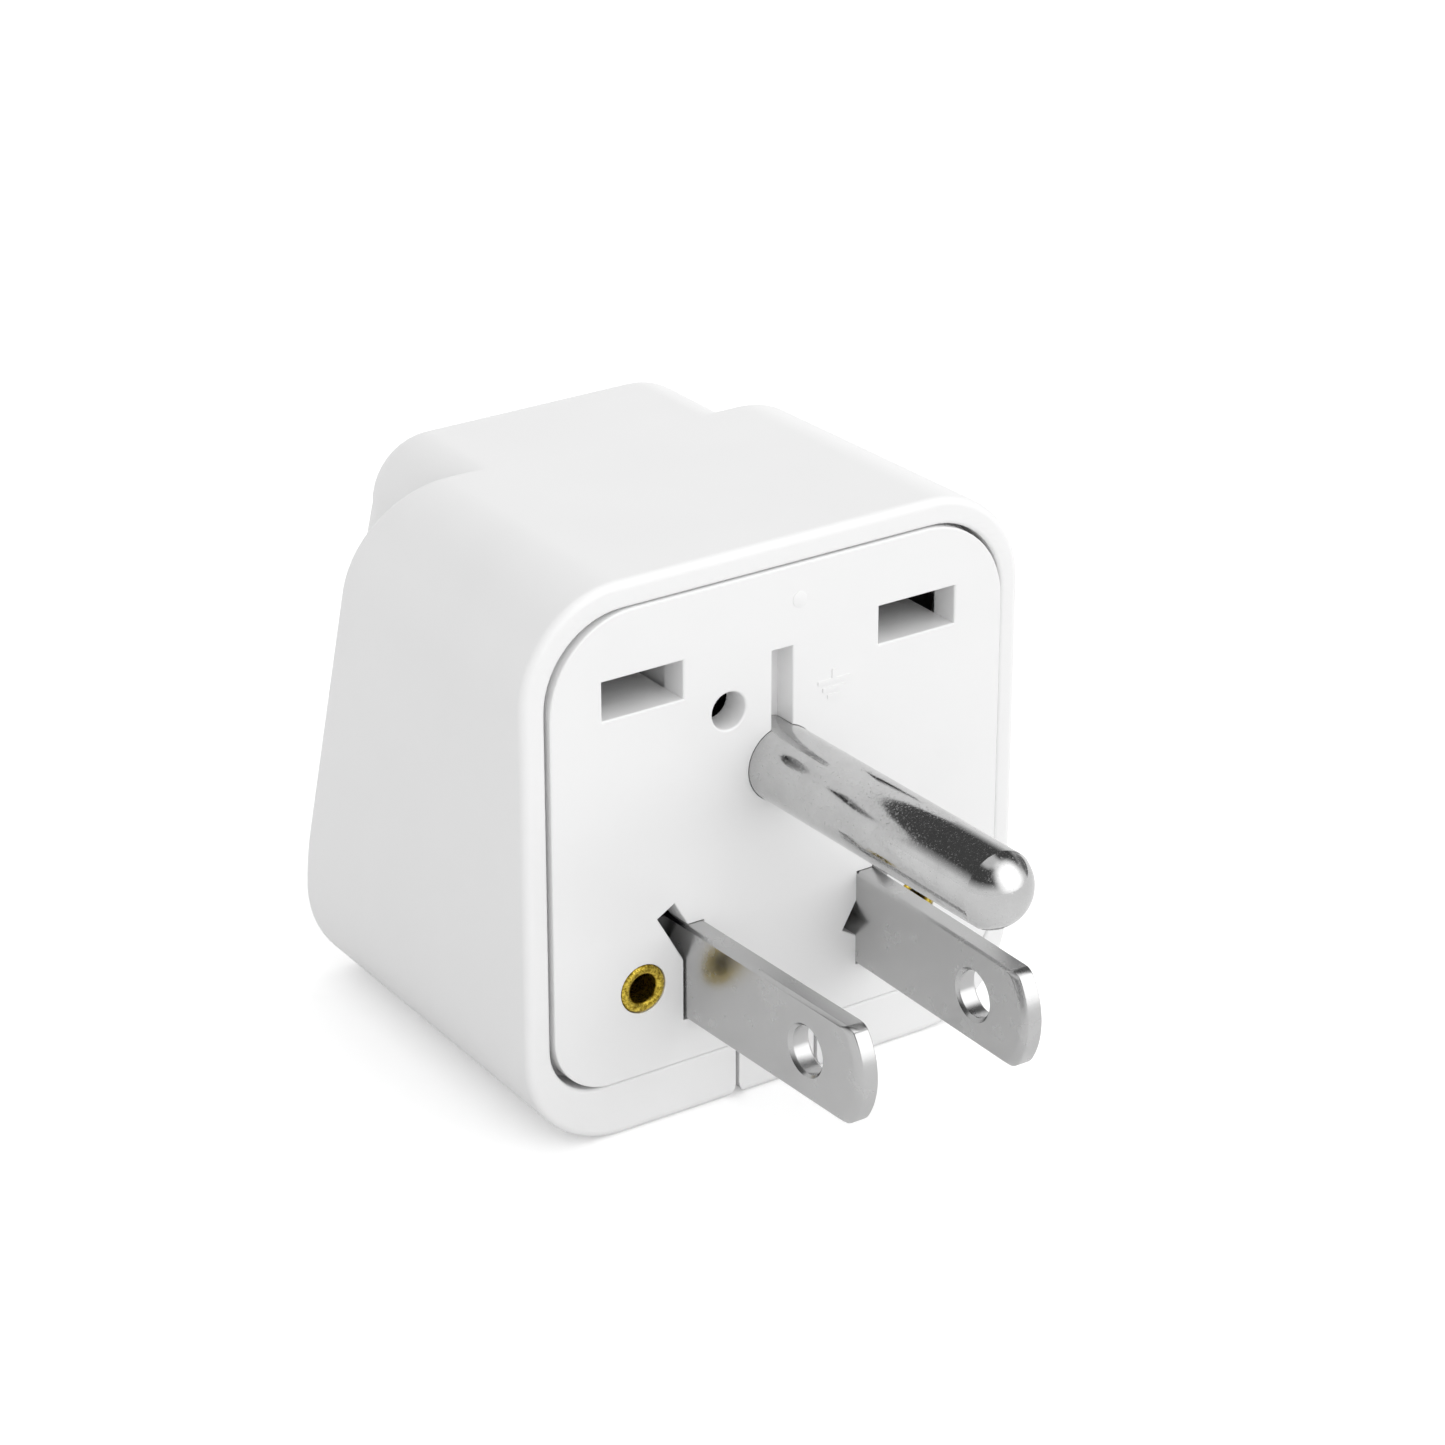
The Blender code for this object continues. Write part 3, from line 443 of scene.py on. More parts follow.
def skinned(name, rings, ladder=True):
    """A closed skin through rings of points that have the same count. Its ends are a ladder of
    quads between mirrored points, or one face each."""
    bm = bmesh.new()
    rows = [[bm.verts.new(point) for point in ring] for ring in rings]
    count = len(rows[0])
    for lower, upper in zip(rows, rows[1:]):
        for i in range(count):
            j = (i + 1) % count
            bm.faces.new((lower[i], lower[j], upper[j], upper[i]))
    for row in (rows[0], rows[-1]):
        if ladder:
            half = count // 2
            for i in range(half - 1):
                bm.faces.new((row[i], row[i + 1], row[count - 2 - i], row[count - 1 - i]))
        else:
            bm.faces.new(row)
    bmesh.ops.recalc_face_normals(bm, faces=bm.faces)
    mesh = bpy.data.meshes.new(name)
    bm.to_mesh(mesh)
    bm.free()
    obj = bpy.data.objects.new(name, mesh)
    bpy.context.scene.collection.objects.link(obj)
    return obj


def opening(name, outline, y_mouth, y_floor, edge=MOUTH_ROUND, steps=4):
    """A cutter for an opening whose mouth has a rounded edge. outline takes how far to grow."""
    rings = [[at(x, y_mouth - math.copysign(1, y_floor - y_mouth), z) for x, z in outline(edge)]]
    way = math.copysign(1, y_floor - y_mouth)
    for i in range(steps + 1):
        turn = math.radians(90 * i / steps)
        grow = edge * (1 - math.sin(turn))
        y = y_mouth + way * edge * (1 - math.cos(turn))
        rings.append([at(x, y, z) for x, z in outline(grow)])
    rings.append([at(x, y_floor, z) for x, z in outline(0.0)])
    return skinned(name, rings)


def block(name, low, high):
    """A plain box between two corners, for cutting and joining."""
    (x0, y0, z0), (x1, y1, z1) = low, high
    square = [(x1, z0), (x1, z1), (x0, z1), (x0, z0)]
    return skinned(name, [[at(x, y, z) for x, z in square] for y in (y0, y1)])


def combine(obj, others, operation="DIFFERENCE"):
    """One Boolean with several shapes, which are then removed."""
    tools = bpy.data.collections.new("tools")
    for other in others:
        tools.objects.link(other)
    modifier = obj.modifiers.new("combine", "BOOLEAN")
    modifier.operation = operation
    modifier.solver = "EXACT"
    modifier.operand_type = "COLLECTION"
    modifier.collection = tools
    settle(obj)
    for other in others:
        bpy.data.objects.remove(other, do_unlink=True)
    bpy.data.collections.remove(tools)
    return obj


def settle(obj):
    """Applies the object's modifiers."""
    bpy.context.view_layer.update()
    evaluated = obj.evaluated_get(bpy.context.evaluated_depsgraph_get())
    mesh = bpy.data.meshes.new_from_object(evaluated)
    obj.modifiers.clear()
    old = obj.data
    obj.data = mesh
    mesh.name = obj.name
    bpy.data.meshes.remove(old)
    return obj


def shade(obj, finish, sharp=32):
    """Smooth shading that keeps flat faces flat and edges above sharp degrees crisp."""
    obj.data.shade_smooth()
    obj.data.set_sharp_from_angle(angle=math.radians(sharp))
    weighted = obj.modifiers.new("flat_faces", "WEIGHTED_NORMAL")
    weighted.keep_sharp = True
    weighted.weight = 100
    settle(obj)
    obj.data.materials.clear()
    obj.data.materials.append(finish)
    return obj


# Geometry node trees ---------------------------------------------------------------------------

def new_tree(name, inputs):
    tree = bpy.data.node_groups.new(name, "GeometryNodeTree")
    tree.interface.new_socket("Geometry", in_out="INPUT", socket_type="NodeSocketGeometry")
    for label, kind in inputs:
        tree.interface.new_socket(label, in_out="INPUT", socket_type="NodeSocket" + kind)
    tree.interface.new_socket("Geometry", in_out="OUTPUT", socket_type="NodeSocketGeometry")
    return tree, tree.nodes.new("NodeGroupInput").outputs


def end_tree(tree, geometry, finish):
    """Every tree ends as real geometry with its material."""
    real = add_node(tree, "GeometryNodeRealizeInstances", {}, {"Geometry": geometry})
    dressed = add_node(tree, "GeometryNodeSetMaterial", {}, {
        "Geometry": real.outputs["Geometry"], "Material": finish})
    add_node(tree, "NodeGroupOutput", {}, {"Geometry": dressed.outputs["Geometry"]})


def lathe_tree():
    """Turns the profile points it is given, (radius, 0, height), round the z axis, and repeats
    the turned piece in a row along x."""
    tree, given = new_tree("lathe", [("Segments", "Int"), ("Copies", "Int"), ("Spacing", "Float"),
                                     ("Finish", "Material")])
    size = add_node(tree, "GeometryNodeAttributeDomainSize", {}, {"Geometry": given["Geometry"]})
    points = size.outputs["Point Count"]
    columns = add_node(tree, "ShaderNodeMath", {"operation": "ADD"}, {
        0: given["Segments"], 1: 1.0})
    grid = add_node(tree, "GeometryNodeMeshGrid", {}, {
        "Vertices X": columns.outputs[0], "Vertices Y": points})
    index = add_node(tree, "GeometryNodeInputIndex")
    step = add_node(tree, "ShaderNodeMath", {"operation": "MODULO"}, {
        0: index.outputs[0], 1: points})
    column = add_node(tree, "ShaderNodeMath", {"operation": "DIVIDE"}, {
        0: index.outputs[0], 1: points})
    whole = add_node(tree, "ShaderNodeMath", {"operation": "FLOOR"}, {0: column.outputs[0]})
    share = add_node(tree, "ShaderNodeMath", {"operation": "DIVIDE"}, {
        0: whole.outputs[0], 1: given["Segments"]})
    angle = add_node(tree, "ShaderNodeMath", {"operation": "MULTIPLY"}, {
        0: share.outputs[0], 1: 2 * math.pi})
    place = add_node(tree, "GeometryNodeInputPosition")
    profile = add_node(tree, "GeometryNodeSampleIndex", {"data_type": "FLOAT_VECTOR"}, {
        "Geometry": given["Geometry"], "Value": place.outputs[0], "Index": step.outputs[0]})
    turned = add_node(tree, "ShaderNodeVectorRotate", {"rotation_type": "Z_AXIS"}, {
        "Vector": profile.outputs["Value"], "Angle": angle.outputs[0]})
    skin = add_node(tree, "GeometryNodeSetPosition", {}, {
        "Geometry": grid.outputs["Mesh"], "Position": turned.outputs["Vector"]})
    closed = add_node(tree, "GeometryNodeMergeByDistance", {}, {
        "Geometry": skin.outputs["Geometry"], "Distance": 0.001 * MM})
    offset = add_node(tree, "ShaderNodeCombineXYZ", {}, {"X": given["Spacing"]})
    row = add_node(tree, "GeometryNodeMeshLine", {}, {
        "Count": given["Copies"], "Offset": offset.outputs[0]})
    copies = add_node(tree, "GeometryNodeInstanceOnPoints", {}, {
        "Points": row.outputs["Mesh"], "Instance": closed.outputs["Geometry"]})
    end_tree(tree, copies.outputs["Instances"], given["Finish"])
    return tree


def coil_tree():
    """A compression spring standing on the origin, with its end turns closed up."""
    tree, given = new_tree("coil", [("Turns", "Float"), ("Radius", "Float"), ("Height", "Float"),
                                    ("Wire", "Float"), ("Finish", "Material")])
    spiral = add_node(tree, "GeometryNodeCurveSpiral", {}, {
        "Resolution": 28, "Rotations": given["Turns"], "Start Radius": given["Radius"],
        "End Radius": given["Radius"], "Height": 0.0})
    along = add_node(tree, "GeometryNodeSplineParameter").outputs["Factor"]
    wave = add_node(tree, "ShaderNodeMath", {"operation": "MULTIPLY"}, {0: along, 1: 2 * math.pi})
    bend = add_node(tree, "ShaderNodeMath", {"operation": "SINE"}, {0: wave.outputs[0]})
    closing = add_node(tree, "ShaderNodeMath", {"operation": "MULTIPLY"}, {
        0: bend.outputs[0], 1: -0.75 / (2 * math.pi)})
    rise = add_node(tree, "ShaderNodeMath", {"operation": "ADD"}, {0: along, 1: closing.outputs[0]})
    height = add_node(tree, "ShaderNodeMath", {"operation": "MULTIPLY"}, {
        0: rise.outputs[0], 1: given["Height"]})
    lift = add_node(tree, "ShaderNodeCombineXYZ", {}, {"Z": height.outputs[0]})
    path = add_node(tree, "GeometryNodeSetPosition", {}, {
        "Geometry": spiral.outputs["Curve"], "Offset": lift.outputs[0]})
    wire = add_node(tree, "GeometryNodeCurvePrimitiveCircle", {}, {
        "Resolution": 10, "Radius": given["Wire"]})
    swept = add_node(tree, "GeometryNodeCurveToMesh", {}, {
        "Curve": path.outputs["Geometry"], "Profile Curve": wire.outputs["Curve"],
        "Fill Caps": True})
    end_tree(tree, swept.outputs["Mesh"], given["Finish"])
    return tree


def grown(name, tree, points, place, **values):
    """A plain mesh made by a tree from a few points, put in its place."""
    mesh = bpy.data.meshes.new(name)
    mesh.from_pydata(points, [], [])
    obj = bpy.data.objects.new(name, mesh)
    bpy.context.scene.collection.objects.link(obj)
    modifier = obj.modifiers.new(name, "NODES")
    modifier.node_group = tree
    for item in tree.interface.items_tree:
        if item.in_out == "INPUT" and item.name in values:
            modifier[item.identifier] = values[item.name]
    settle(obj)
    obj.data.transform(place)
    bm = bmesh.new()
    bm.from_mesh(obj.data)
    bmesh.ops.recalc_face_normals(bm, faces=bm.faces)
    bm.to_mesh(obj.data)
    bm.free()
    return obj


LATHE = lathe_tree()
COIL = coil_tree()
# Turned pieces lie along y: the lathe's z axis becomes y
LAID = Matrix(((1, 0, 0, 0), (0, 0, 1, 0), (0, 1, 0, 0), (0, 0, 0, 1)))


def turned(name, profile, x, z, finish, segments=64, copies=1, spacing=0.0, sharp=30):
    """A turned piece, or a row of them, with its axis along y. The profile is (radius, y)."""
    points = [(radius * MM, 0, y * MM) for radius, y in profile]
    place = Matrix.Translation(at(x, 0, z)) @ LAID
    obj = grown(name, LATHE, points, place, Segments=segments, Copies=copies,
                Spacing=spacing * MM, Finish=finish)
    obj.data.shade_smooth()
    obj.data.set_sharp_from_angle(angle=math.radians(sharp))
    return obj


# Pieces ----------------------------------------------------------------------------------------

def seat(obj):
    """Moves a piece drawn round the plug's middle to where the plug sits."""
    obj.data.transform(Matrix.Translation((PLUG_X * MM, 0, 0)))
    return obj


def finish_piece(obj, slot, *nodes):
    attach(obj, BODY)
    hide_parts(*nodes)
    return obj


def rear_depth(z):
    """Depth of the main block's rear at height z: a slope that turns upright near the bottom."""
    slope = TOP_DEPTH + REAR_SLOPE * (BODY_HEIGHT - z)
    upright = BODY_DEPTH - LEDGE
    blend = 0.8
    near = max(blend - abs(slope - upright), 0) / blend
    return min(slope, upright) - near * near * blend / 4


def slit():
    """Outline of a slit beside the snap tab, with round corners where it meets the bottom."""
    centre = SLIT_HALF + SLIT_ROUND
    right = [(centre, -1)] + arc(centre, SLIT_ROUND, SLIT_ROUND, 270, 180, 5)
    right.append((SLIT_HALF, PLATE_BOTTOM + 1))
    return right + [(-x, z) for x, z in reversed(right)]


def main_block():
    def ring(inset, depth):
        outline = rounded(BODY_HALF, 0, BODY_HEIGHT, CORNER_TOP, CORNER_BOTTOM, inset, along=24)
        points = []
        for x, z in outline:
            y = depth(z)
            lean = (BODY_HALF - SIDE_DRAFT * (y - RIM_Y)) / BODY_HALF
            points.append(at(x * lean, y, z))
        return points

    rings = []
    steps = 6
    for i in range(steps + 1):
        turn = math.radians(90 * i / steps)
        y = RIM_Y + RIM_ROUND * (1 - math.cos(turn))
        rings.append(ring(RIM_ROUND * (1 - math.sin(turn)), lambda z, y=y: y))
    start = RIM_Y + RIM_ROUND
    for share in (0.25, 0.5, 0.75):
        rings.append(ring(0, lambda z, s=share: start + s * (rear_depth(z) - REAR_ROUND - start)))
    for i in range(steps + 1):
        turn = math.radians(90 * i / steps)
        back = REAR_ROUND * (1 - math.sin(turn))
        rings.append(ring(REAR_ROUND * (1 - math.cos(turn)),
                          lambda z, back=back: rear_depth(z) - back))
    return skinned("housing_shell", rings)


def socket_block():
    rings = [[at(x, TOP_DEPTH - 6, z) for x, z in flared()]]
    steps = 8
    for i in range(steps + 1):
        turn = math.radians(90 * i / steps)
        y = BODY_DEPTH - BLOCK_ROUND * (1 - math.sin(turn))
        rings.append([at(x, y, z) for x, z in flared(BLOCK_ROUND * (1 - math.cos(turn)))])
    return skinned("socket_block", rings)


LIVE_Z = 6.85
UK_X, US_X, EURO_X, AU_X = 11.1, 6.35, 9.5, 6.86
EARTH_TOP_Z, EARTH_LOW_Z, EARTH_AU_Z = LIVE_Z + 22.2, LIVE_Z + 11.9, LIVE_Z + 10.3
LEAN = 30


def socket_openings():
    """Cutters for the socket face: British, European, American and Australian pins."""
    shapes = []
    for side in (-1, 1):
        shapes += [
            lambda g, s=side: leaning(s * UK_X, LIVE_Z, 3.25, 2.15, grow=g),
            lambda g, s=side: leaning(s * US_X, LIVE_Z, 1.0, 3.4, grow=g),
            lambda g, s=side: leaning(s * AU_X, LIVE_Z, 1.0, 3.3, lean=s * LEAN, grow=g),
            lambda g, s=side: ring_round(s * EURO_X, LIVE_Z, 2.6, grow=g),
        ]
    shapes += [
        lambda g: leaning(0, EARTH_TOP_Z, 2.15, 4.05, grow=g),
        lambda g: ring_round(0, EARTH_LOW_Z, 2.9, grow=g),
        lambda g: leaning(0, EARTH_AU_Z, 1.0, 3.6, grow=g),
    ]
    return [opening(f"socket_opening_{i}", shape, BODY_DEPTH, BODY_DEPTH - FACE_WALL - 1.5)
            for i, shape in enumerate(shapes)]


def make_housing():
    housing = main_block()
    combine(housing, [socket_block()], "UNION")
    cutters = [opening("plate_recess", lambda g: [(x + RECESS_SHIFT, z) for x, z in rounded(
        PLATE_HALF + PLATE_GAP, PLATE_BOTTOM - PLATE_GAP_HIGH, PLATE_TOP + PLATE_GAP_HIGH,
        RECESS_CORNER_TOP, RECESS_CORNER_BOTTOM, -g)], RIM_Y, RECESS_DEPTH)]
    cavity_rings = []
    for y in (PLATE_THICK, BODY_DEPTH - FACE_WALL):
        half = PLATE_HALF - 0.4 - SIDE_DRAFT * y
        outline = rounded(half, PLATE_BOTTOM - 0.2, PLATE_TOP - 0.9, 5.0, 3.9, along=24)
        limit = [(x, min(y, rear_depth(z) - 2.3), z) for x, z in outline]
        cavity_rings.append([at(*point) for point in limit])
    cutters.append(skinned("main_cavity", cavity_rings))
    inner = [(x, max(z, PLATE_BOTTOM)) for x, z in flared(2.2)]
    cutters.append(skinned("block_cavity", [[at(x, y, z) for x, z in inner]
                                            for y in (8, BODY_DEPTH - FACE_WALL)]))
    for side in (-1, 1):
        cutters.append(skinned(f"tab_slit_{side}", [[at(x + side * SLIT_X, y, z) for x, z in slit()]
                                                    for y in (RIM_Y - 1, SLIT_DEPTH)]))
        x_in, x_out = sorted((side * 7.7, side * 14.45))
        cutters.append(block(f"pin_way_{side}", (x_in, 17, LIVE_Z - 2.35),
                             (x_out, 27, LIVE_Z + 2.35)))
    combine(housing, cutters + socket_openings())
    shade(housing, ABS)
    return finish_piece(housing, "white_abs", "housing")


def earth_mark():
    """The raised earth symbol beside the pin: a stem over three bars, each shorter than the last."""
    line = 0.13
    strokes = [block("earth_stem", (MARK_X - line, -MARK_RAISED, MARK_Z + 0.3),
                     (MARK_X + line, 0.5, MARK_Z + 1.15))]
    for row, half in enumerate((1.15, 0.8, 0.45)):
        z = MARK_Z + 0.42 - row * 0.5
        strokes.append(block(f"earth_bar_{row}", (MARK_X - half, -MARK_RAISED - 0.001, z - line),
                             (MARK_X + half, 0.5 + row * 0.01, z + line)))
    return strokes


def gate_mark():
    """The small raised disc where the plate was fed in its mould."""
    rings = [[at(x, y, z) for x, z in ring_round(GATE_X, GATE_Z, radius, steps=24)]
             for y, radius in ((-MARK_RAISED, 0.4), (-MARK_RAISED / 2, 0.5), (0.4, 0.5))]
    return skinned("gate_mark", rings)


def make_plate():
    rings = []
    steps = 4
    for i in range(steps + 1):
        turn = math.radians(90 * i / steps)
        outline = rounded(PLATE_HALF, PLATE_BOTTOM, PLATE_TOP, PLATE_CORNER_TOP,
                          PLATE_CORNER_BOTTOM, PLATE_EDGE * (1 - math.sin(turn)))
        rings.append([at(x, PLATE_EDGE * (1 - math.cos(turn)), z) for x, z in outline])
    outline = rounded(PLATE_HALF, PLATE_BOTTOM, PLATE_TOP, PLATE_CORNER_TOP, PLATE_CORNER_BOTTOM)
    rings.append([at(x, PLATE_THICK, z) for x, z in outline])
    plate = skinned("plug_plate", rings)
    sill = WINDOW_Z - WINDOW[1] - 0.01
    ribs = [block(f"sill_{side}", (side * WINDOW_X - WINDOW[0], 1, sill - RIB_THICK),
                  (side * WINDOW_X + WINDOW[0], RIB_BACK, sill)) for side in (-1, 1)]
    ribs.append(block("rib", (RIB_X, 1, sill - RIB_THICK - 0.01),
                      (RIB_X + RIB_THICK, RIB_BACK - 0.01, PLATE_TOP - 2)))
    combine(plate, ribs + earth_mark() + [gate_mark()], "UNION")
    through = PLATE_THICK + 1
    cutters = []
    for side, word in ((-1, "left"), (1, "right")):
        cutters += [
            opening(f"window_{word}", lambda g, s=side: leaning(
                s * WINDOW_X, WINDOW_Z, *WINDOW, grow=g), 0, through, 0.15),
            opening(f"blade_slot_{word}", lambda g, s=side: leaning(
                s * BLADE_X, BLADE_Z, BLADE_THICK / 2 + 0.02, BLADE_WIDE / 2 + 0.02, grow=g),
                0, through, 0.04),
            opening(f"diagonal_slot_{word}", lambda g, s=side: leaning(
                s * DIAGONAL_X, DIAGONAL_Z, *DIAGONAL_SLOT, lean=s * LEAN, grow=g),
                0, through, 0.1),
            opening(f"rivet_sink_{word}", lambda g, s=side: ring_round(
                s * RIVET_X, RIVET_Z, RIM_R + 0.02, grow=g), 0, through, 0.04),
        ]
    cutters += [
        opening("pin_hole", lambda g: ring_round(0, PIN_Z, PIN_R + 0.02, grow=g, steps=48),
                0, through, 0.04),
        opening("round_hole", lambda g: ring_round(
            ROUND_HOLE_X, ROUND_HOLE_Z, ROUND_HOLE_R, grow=g), 0, through, 0.15),
        opening("earth_slot", lambda g: leaning(0, EARTH_SLOT_Z, *EARTH_SLOT, grow=g),
                0, EARTH_SLOT_DEPTH, 0.1),
    ]
    combine(plate, cutters)
    shade(plate, ABS)
    return finish_piece(seat(plate), "white_abs", "front_plate")


def make_blade(side, word):
    """A stamped blade: chamfered edges, a coined tip, a countersunk hole, and a foot behind the
    plate."""
    half = BLADE_WIDE / 2
    foot_y = RECESS_DEPTH
    foot_thick, foot_half, foot_reach = 1.2, 2.8, 2.6
    sag = 1.2                      # how far the middle of the tip stands out
    upper_corner, lower_corner = 0.9, 1.1
    toe_in = math.tan(math.radians(TOE_IN[word]))

    def outline(edge, tip_edge):
        h = half - edge
        tip = -(BLADE_LENGTH - tip_edge)
        radius = (h * h + sag * sag) / (2 * sag)
        points = []
        for way, corner in ((1, upper_corner - edge), (-1, lower_corner - edge)):
            swing = math.degrees(math.asin((h - corner) / (radius - corner)))
            y = tip + radius - (radius - corner) * math.cos(math.radians(swing))
            turn = arc(y, BLADE_Z + way * (h - corner), corner, 90 * way, way * (180 - swing), 6)
            sweep = arc(tip + radius, BLADE_Z, radius, way * (180 - swing), 180 * way, 8)[1:]
            points += turn + sweep if way > 0 else (turn + sweep[:-1])[::-1]
        return points + [(foot_y + foot_thick, BLADE_Z - h), (foot_y + foot_thick, BLADE_Z + h)]

    thick = BLADE_THICK / 2
    levels = [(-thick, 0.2, 0.6), (-thick + 0.05, 0.13, 0.4), (-thick + 0.16, 0.04, 0.14),
              (-thick + 0.22, 0.0, 0.03), (-thick + 0.26, 0.0, 0.0)]
    levels += [(-x, edge, tip) for x, edge, tip in reversed(levels)]
    rings = []
    for x, edge, tip in levels:
        ring = []
        for y, z in outline(edge, tip):
            lean = toe_in * min(y, 0) * side
            ring.append(at(side * BLADE_X + x + lean, y, z))
        rings.append(ring)
    blade = skinned(f"blade_{word}_strip", rings, ladder=False)

    near, far = side * (BLADE_X - 0.6), side * (RIVET_X + foot_reach)
    foot = block("foot", (min(near, far), foot_y, BLADE_Z - foot_half),
                 (max(near, far), foot_y + foot_thick - 0.05, BLADE_Z + foot_half))
    combine(blade, [foot], "UNION")
    middle = side * (BLADE_X - toe_in * HOLE_FROM_FACE)
    sink = 0.2                     # slightly rounded countersink on each face
    mouth, bend_r, wide = HOLE_R + sink, HOLE_R + 0.12, HOLE_R + sink + 1.2
    profile = [(0, -2), (wide, -2), (mouth, -thick), (bend_r, -thick + 0.1),
               (HOLE_R, -thick + sink), (HOLE_R, thick - sink), (bend_r, thick - 0.1),
               (mouth, thick), (wide, 2), (0, 2)]
    points = [(radius * MM, 0, x * MM) for radius, x in profile]
    across = Matrix(((0, 0, 1, 0), (1, 0, 0, 0), (0, 1, 0, 0), (0, 0, 0, 1)))
    place = Matrix.Translation(at(middle, -HOLE_FROM_FACE, BLADE_Z)) @ across
    punch = grown("punch", LATHE, points, place, Segments=48, Copies=1, Spacing=0.0,
                  Finish=SATIN_NICKEL)
    way = 1.2                      # half width of the passage cut for the rivet
    rivet_way = block("rivet_way", (side * RIVET_X - way, 1, RIVET_Z - way),
                      (side * RIVET_X + way, 6, RIVET_Z + way))
    combine(blade, [punch, rivet_way])
    shade(blade, SATIN_NICKEL, sharp=24)
    return finish_piece(seat(blade), "nickel_plate", f"blade_{word}")


def make_earth_pin():
    """A turned pin with a domed end that starts at a crisp edge. It stands a little off square,
    as pressed-in pins do."""
    slope = 19                     # of the dome where it starts, in degrees
    dome_r = (PIN_R - 0.03) / math.cos(math.radians(slope))
    middle = -PIN_LENGTH + dome_r
    start = middle - dome_r * math.sin(math.radians(slope))
    dome = [(dome_r * math.cos(math.radians(a)), middle - dome_r * math.sin(math.radians(a)))
            for a in range(slope, 87, 4)]
    flange, tail = PLATE_THICK + 1.3, PLATE_THICK + 4.0
    tail_r, flange_r = 1.4, 3.4
    profile = [(0, tail), (tail_r, tail), (tail_r, flange), (flange_r, flange),
               (flange_r, RECESS_DEPTH), (PIN_R, RECESS_DEPTH), (PIN_R, 0), (PIN_R, -8),
               (PIN_R, start + 0.1),
               (PIN_R - 0.01, start + 0.04)] + dome + [(0, -PIN_LENGTH)]
    pin = turned("earth_pin_turned", profile, 0, PIN_Z, POLISHED_NICKEL, segments=96,
                 sharp=14)
    for vertex in pin.data.vertices:
        out = max(FACE_Y - vertex.co.y / MM, 0) / PIN_LENGTH
        vertex.co.z += PIN_RISE * out * MM
    return finish_piece(seat(pin), "nickel_plate", "earth_pin")


def make_rivets():
    """Both hollow rivets: a rolled rim in front and a flange behind the strap."""
    back = PLATE_THICK + 2.7
    fold = (RIM_R - BORE_R) / 2
    rim = [(RIM_R - fold + fold * math.cos(math.radians(a)), 0.2 - 0.3 * math.sin(math.radians(a)))
           for a in range(-30, 196, 15)]
    neck = 0.6                     # depth at which the rim meets the shank
    profile = [(BORE_R, back + 0.4), (FLANGE_R, back + 0.4), (FLANGE_R, back), (SHANK_R, back),
               (SHANK_R, neck)]
    profile += rim + [(BORE_R, neck), (BORE_R, back + 0.4)]
    rivets = turned("rivets", profile, -RIVET_X, RIVET_Z, RIVET_BRASS, segments=48, copies=2,
                    spacing=2 * RIVET_X, sharp=40)
    return finish_piece(seat(rivets), "brass", "rivet_left", "rivet_right")


def make_springs():
    wire = 0.17
    centre_y = (SPRING_LOW.y + SPRING_HIGH.y) / 2
    radius = (SPRING_HIGH.x - SPRING_LOW.x) / 2 - wire
    for side, word in ((-1, "left"), (1, "right")):
        x = side * (SPRING_LOW.x + SPRING_HIGH.x) / 2
        place = Matrix.Translation(Vector((x, centre_y, SPRING_LOW.z + wire)) * MM)
        spring = grown(f"shutter_coil_{word}", COIL, [(0, 0, 0)], place, Turns=9.0,
                       Radius=radius * MM, Height=(SPRING_HIGH.z - SPRING_LOW.z - 2 * wire) * MM,
                       Wire=wire * MM, Finish=SPRING_STEEL)
        spring.data.shade_smooth()
        finish_piece(spring, "spring_steel", f"shutter_spring_{word}")
        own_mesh(spring)


def dress_cad_nodes():
    """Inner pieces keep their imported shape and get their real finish."""
    finishes = {
        STRIP_BRASS: ("contact_left", "contact_right"),
        SATIN_NICKEL: ("earth_contact",),
        SPRING_STEEL: ("clip_left", "clip_right", "earth_clip_upper", "earth_clip_lower",
                       "earth_washer"),
        NYLON: ("contact_carrier",),
        POLYCARBONATE: ("shutter",),
    }
    for finish, nodes in finishes.items():
        for node in nodes:
            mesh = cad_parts[node].data
            mesh.materials.clear()
            mesh.materials.append(finish)


# Studio ----------------------------------------------------------------------------------------

def make_floor():
    bm = bmesh.new()
    bmesh.ops.create_grid(bm, x_segments=1, y_segments=1, size=3)
    mesh = bpy.data.meshes.new("floor")
    bm.to_mesh(mesh)
    bm.free()
    floor = bpy.data.objects.new("floor", mesh)
    mesh.materials.append(sweep_paper())
    bpy.context.scene.collection.objects.link(floor)


def make_camera():
    data = bpy.data.cameras.new("camera")
    data.sensor_width = 36
    data.lens = 111.88
    data.clip_start = 0.01
    camera = bpy.data.objects.new("camera", data)
    camera.location = (-0.13901, -0.19928, 0.13434)
    looking = Vector((0.51538, 0.74896, -0.41647))
    camera.rotation_euler = looking.to_track_quat("-Z", "Y").to_euler()
    bpy.context.scene.collection.objects.link(camera)
    bpy.context.scene.camera = camera


SWEEP_LEVEL, ROOM_LEVEL = 0.95, 0.08
SWEEP_TOP, ROOM_START = 10, 32       # degrees above the floor where the paper ends and the room shows
# Lit areas of the room as gloss shows them: towards it, inner and outer radius in degrees, level
LIT_AREAS = (
    ((0.0, 0.0, 1.0), 10, 26, 0.8),
    ((0.40, -0.72, 0.57), 12, 50, 2.2),
    ((0.98, 0.14, 0.09), 12, 22, 0.2),
)
FILL_LEVEL = 0.93                    # soft light on matt surfaces
FILL_SLOPE = (0.33, -0.42, 0.16)     # it grows to the right, to the front and upwards


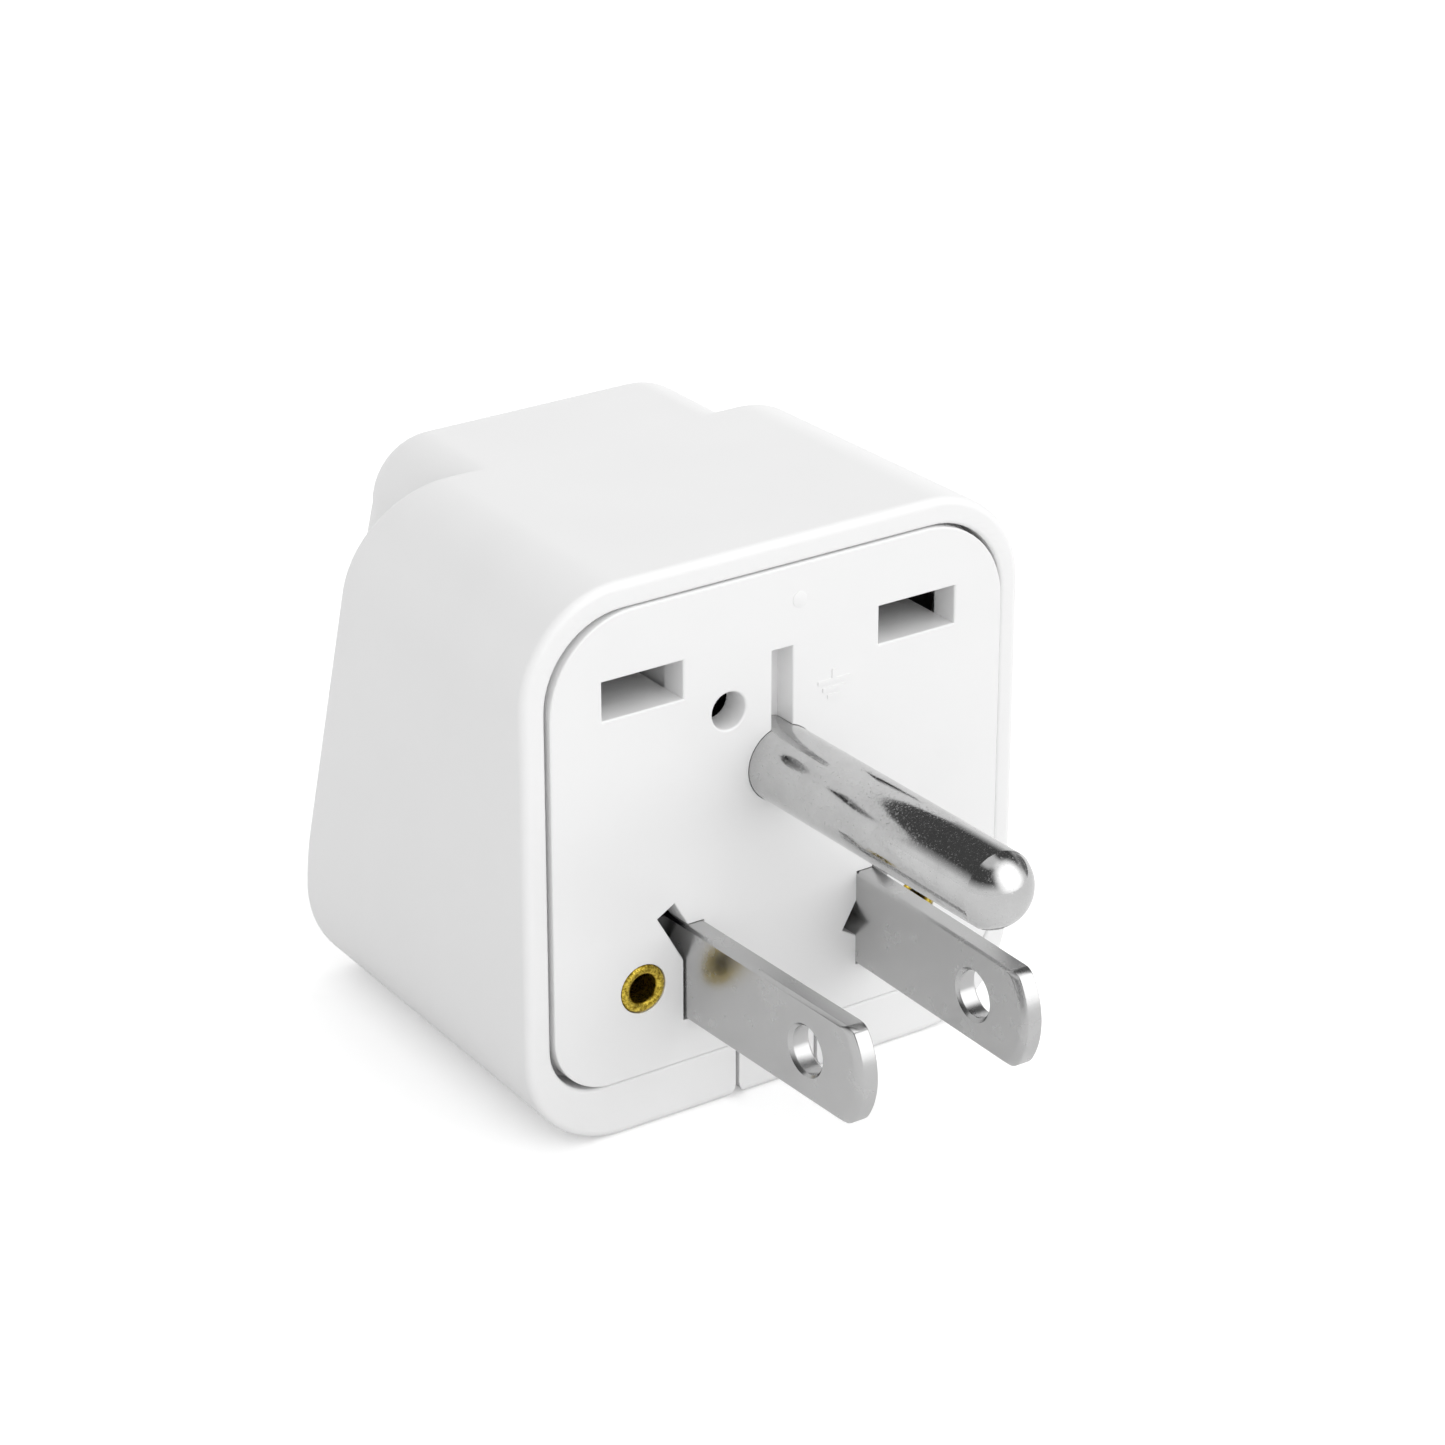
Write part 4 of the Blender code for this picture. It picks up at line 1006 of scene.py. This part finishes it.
def make_studio():
    """White paper all round, a dark room above it, a light ceiling and one large soft box in
    front of the object. Matt surfaces get the same light spread out into one soft slope."""
    world = bpy.data.worlds.new("studio")
    world.use_nodes = True
    bpy.context.scene.world = world
    tree = world.node_tree
    tree.nodes.clear()
    way = add_node(tree, "ShaderNodeTexCoord").outputs["Generated"]
    height = add_node(tree, "ShaderNodeSeparateXYZ", {}, {"Vector": way}).outputs["Z"]
    level = add_node(tree, "ShaderNodeMapRange", {}, {
        "Value": height, "From Min": math.sin(math.radians(SWEEP_TOP)),
        "From Max": math.sin(math.radians(ROOM_START)), "To Min": SWEEP_LEVEL,
        "To Max": ROOM_LEVEL}).outputs["Result"]
    for towards, inner, outer, area_level in LIT_AREAS:
        facing = add_node(tree, "ShaderNodeVectorMath", {"operation": "DOT_PRODUCT"}, {
            0: way, 1: Vector(towards).normalized()})
        share = add_node(tree, "ShaderNodeMapRange", {"interpolation_type": "SMOOTHSTEP"}, {
            "Value": facing.outputs["Value"], "From Min": math.cos(math.radians(outer)),
            "From Max": math.cos(math.radians(inner))})
        level = add_node(tree, "ShaderNodeMix", {}, {
            "Factor": share.outputs["Result"], "A": level, "B": area_level}).outputs[0]
    slope = add_node(tree, "ShaderNodeVectorMath", {"operation": "DOT_PRODUCT"}, {
        0: way, 1: FILL_SLOPE})
    fill = add_node(tree, "ShaderNodeMath", {"operation": "ADD"}, {
        0: slope.outputs["Value"], 1: FILL_LEVEL})
    ray = add_node(tree, "ShaderNodeLightPath")
    lit = add_node(tree, "ShaderNodeMix", {}, {
        "Factor": ray.outputs["Is Glossy Ray"], "A": fill.outputs[0], "B": level})
    seen = add_node(tree, "ShaderNodeMath", {"operation": "MAXIMUM"}, {
        0: lit.outputs[0], 1: ray.outputs["Is Camera Ray"]})
    shader = add_node(tree, "ShaderNodeBackground", {}, {
        "Color": (1, 1, 1, 1), "Strength": seen.outputs[0]})
    add_node(tree, "ShaderNodeOutputWorld", {}, {"Surface": shader.outputs[0]})


make_studio()
make_camera()
make_floor()
make_housing()
make_plate()
for side, word in ((-1, "left"), (1, "right")):
    make_blade(side, word)
make_earth_pin()
make_rivets()
make_springs()
dress_cad_nodes()

bpy.context.scene.view_settings.view_transform = "Standard"
